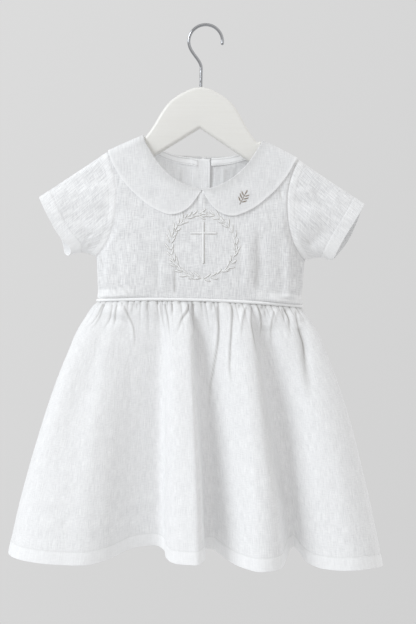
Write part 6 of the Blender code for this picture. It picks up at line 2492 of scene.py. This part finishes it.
@dataclass(frozen=True)
class Studio:
    """A pale room, a large soft light from the front left, a weak one in front, and the camera."""

    camera_at: tuple[float, float, float] = (0.008783, -1.250, -0.314265)
    roll: float = 1.2
    lens: float = 65.56
    # Name, place and side in metres, power in watts, and linear colour.
    lights: tuple[tuple[Any, ...], ...] = (
        ("key", (-2.9, -2.0, 1.6), 1.8, 82.0, (0.91, 0.955, 1.0)),
        ("fill", (0.3, -2.2, 1.2), 1.8, 5.0, (1.0, 0.97, 0.93))
    )
    floor_at: float = -1.5
    floor_reach: float = 2.4
    dark_side: float = 0.6  # light from the room's lower front, as a share of the rest
    light_side: float = 1.75  # light from its right

    def camera(self) -> None:
        """A level camera that looks along +Y, rolled a little."""
        data = bpy.data.cameras.new("camera")
        data.lens = self.lens
        data.sensor_width = 36.0
        data.clip_start = 0.05
        made = add_object("camera", data)
        c, s = math.cos(math.radians(self.roll)), math.sin(math.radians(self.roll))
        x, y, z = self.camera_at
        made.matrix_world = Matrix(
            ((c, -s, 0.0, x), (0.0, 0.0, -1.0, y), (s, c, 0.0, z), (0.0, 0.0, 0.0, 1.0))
        )
        bpy.context.scene.camera = made

    def area(self, name: str, place: tuple, size: float, power: float, colour: tuple) -> None:
        """A square area light that looks at the gown's middle.

        Args:
            name: The light's name.
            place: Where it is, in metres.
            size: Its side.
            power: Its power in watts.
            colour: Its linear colour.
        """
        data = bpy.data.lights.new(name, "AREA")
        data.shape = "SQUARE"
        data.size = size
        data.energy = power
        data.color = colour
        made = add_object(name, data)
        back = unit(np.array(place) - np.array([0.0, 0.0, -0.3]))
        right = unit(np.cross([0.0, 0.0, 1.0], back))
        up = np.cross(back, right)
        rows = [[right[k], up[k], back[k], place[k]] for k in range(3)]
        made.matrix_world = Matrix(rows + [[0, 0, 0, 1]])

    def world(self) -> None:
        """A pale grey world: darker below and in the lower front, brighter from the right.

        Each ramp runs over the view's direction times a fixed one, or over its x: the first is
        the room's grey, and the product of the other two its strength.
        """
        world = bpy.data.worlds.new("room")
        world.use_nodes = True
        bpy.context.scene.world = world
        tree = world.node_tree
        place = add_node(tree, "TexCoord", out="Generated")
        grey, low = (
            add_node(tree, "VectorMath", {0: place, 1: way}, "Value", operation="DOT_PRODUCT")
            for way in ((0.75, 0.0, -0.5), (0.3, -0.62, -0.72))
        )
        ramps = []
        for value, *ends in (
            (grey, -0.25, 0.25, 0.712, 0.640), (low, -0.2, 0.9, 1.0, self.dark_side),
            (add_node(tree, "SeparateXYZ", {0: place}), 0.3, 0.9, 1.0, self.light_side)
        ):
            inputs = dict(zip(("From Min", "From Max", "To Min", "To Max"), ends))
            ramps.append(add_node(tree, "MapRange", {"Value": value} | inputs))
        strength = add_node(tree, "Math", {0: ramps[1], 1: ramps[2]}, operation="MULTIPLY")
        join(tree, tree.nodes["Background"], {"Color": ramps[0], "Strength": strength})

    def floor(self) -> None:
        """A pale round floor, well below the gown."""
        mesh = bpy.data.meshes.new("floor")
        turns, reach = round_turn(72), self.floor_reach
        rim = [(reach * math.cos(a), reach * math.sin(a), self.floor_at) for a in turns]
        mesh.from_pydata(rim, [], [tuple(range(len(rim)))])
        mesh.materials.append(MattPaint("pale floor", "#D9D9D9").material())
        add_object("floor", mesh)

    def build(self) -> None:
        """The camera, the lights, the world and the floor."""
        self.camera()
        self.world()
        self.floor()
        for light in self.lights:
            self.area(*light)
        bpy.context.scene.view_settings.view_transform = "Standard"


# ---------------------------------------------------------------- the whole gown


def main() -> None:
    """Builds the gown and the studio, and reports each piece."""
    logging.basicConfig(level=logging.INFO, format="%(name)s: %(message)s")
    finishes = Finishes()
    form = BodiceForm()
    hanger = Hanger(form, finishes)
    hanger.body()
    hanger.hook()
    FrontBodice(form, finishes).build()
    backs = BackBodice(form, finishes)
    for hand in Hand:
        backs.build(hand)
    Sleeve(
        form, finishes, Hand.LEFT, back_bulge=(0.86, 5.0, 0.14), front_draw=(0.84, -7.0, 0.17),
        creases=crease_rows(
            (-118.0, -235.0, -128.0, -222.0, -142.0, -205.0, 3.4, -1.2, 1.5, 0.1, 0.6),
            (-120.0, -244.0, -134.0, -236.0, -148.0, -232.0, 2.6, 0.8, 1.5, 0.1, 0.5)
        ),
        seam=0.35, lit_inside=0.3
    ).build()
    Sleeve(
        form, finishes, Hand.RIGHT, back_bulge=(0.55, 5.5, 0.32), front_draw=(0.62, -1.5, 0.25),
        creases=crease_rows(
            (104.0, -176.0, 107.0, -194.0, 112.0, -216.0, 4.5, -0.8, 1.5, 0.4, 0.5),
            (113.0, -172.0, 119.0, -195.0, 126.0, -222.0, 14.0, 1.4, 0.6, 0.15, 0.4),
            (116.0, -240.0, 128.0, -229.0, 142.0, -214.0, 7.0, -1.4, 1.0, 0.1, 0.4)
        ),
        lit_inside=0.1
    ).build()
    collars = [Collar(form, finishes, hand).build() for hand in Hand]
    neck = NeckFinish(form, finishes)
    for hand in Hand:
        neck.band(hand)
    neck.flap()
    piping = Piping(form, finishes)
    piping.build("waist_piping_front", Face.FRONT, 0.0, 1.0)
    piping.build("waist_piping_back_left", Face.BACK, 0.0, 0.5)
    piping.build("waist_piping_back_right", Face.BACK, 0.5, 1.0)
    Skirt(SkirtForm(form), finishes).build()
    embroidery = Embroidery(form, finishes)
    embroidery.wreath()
    embroidery.cross()
    embroidery.sprig(collars[1])
    Buttons(form, finishes).build()
    Studio().build()


if __name__ == "__main__":
    main()
    bpy.context.view_layer.update()
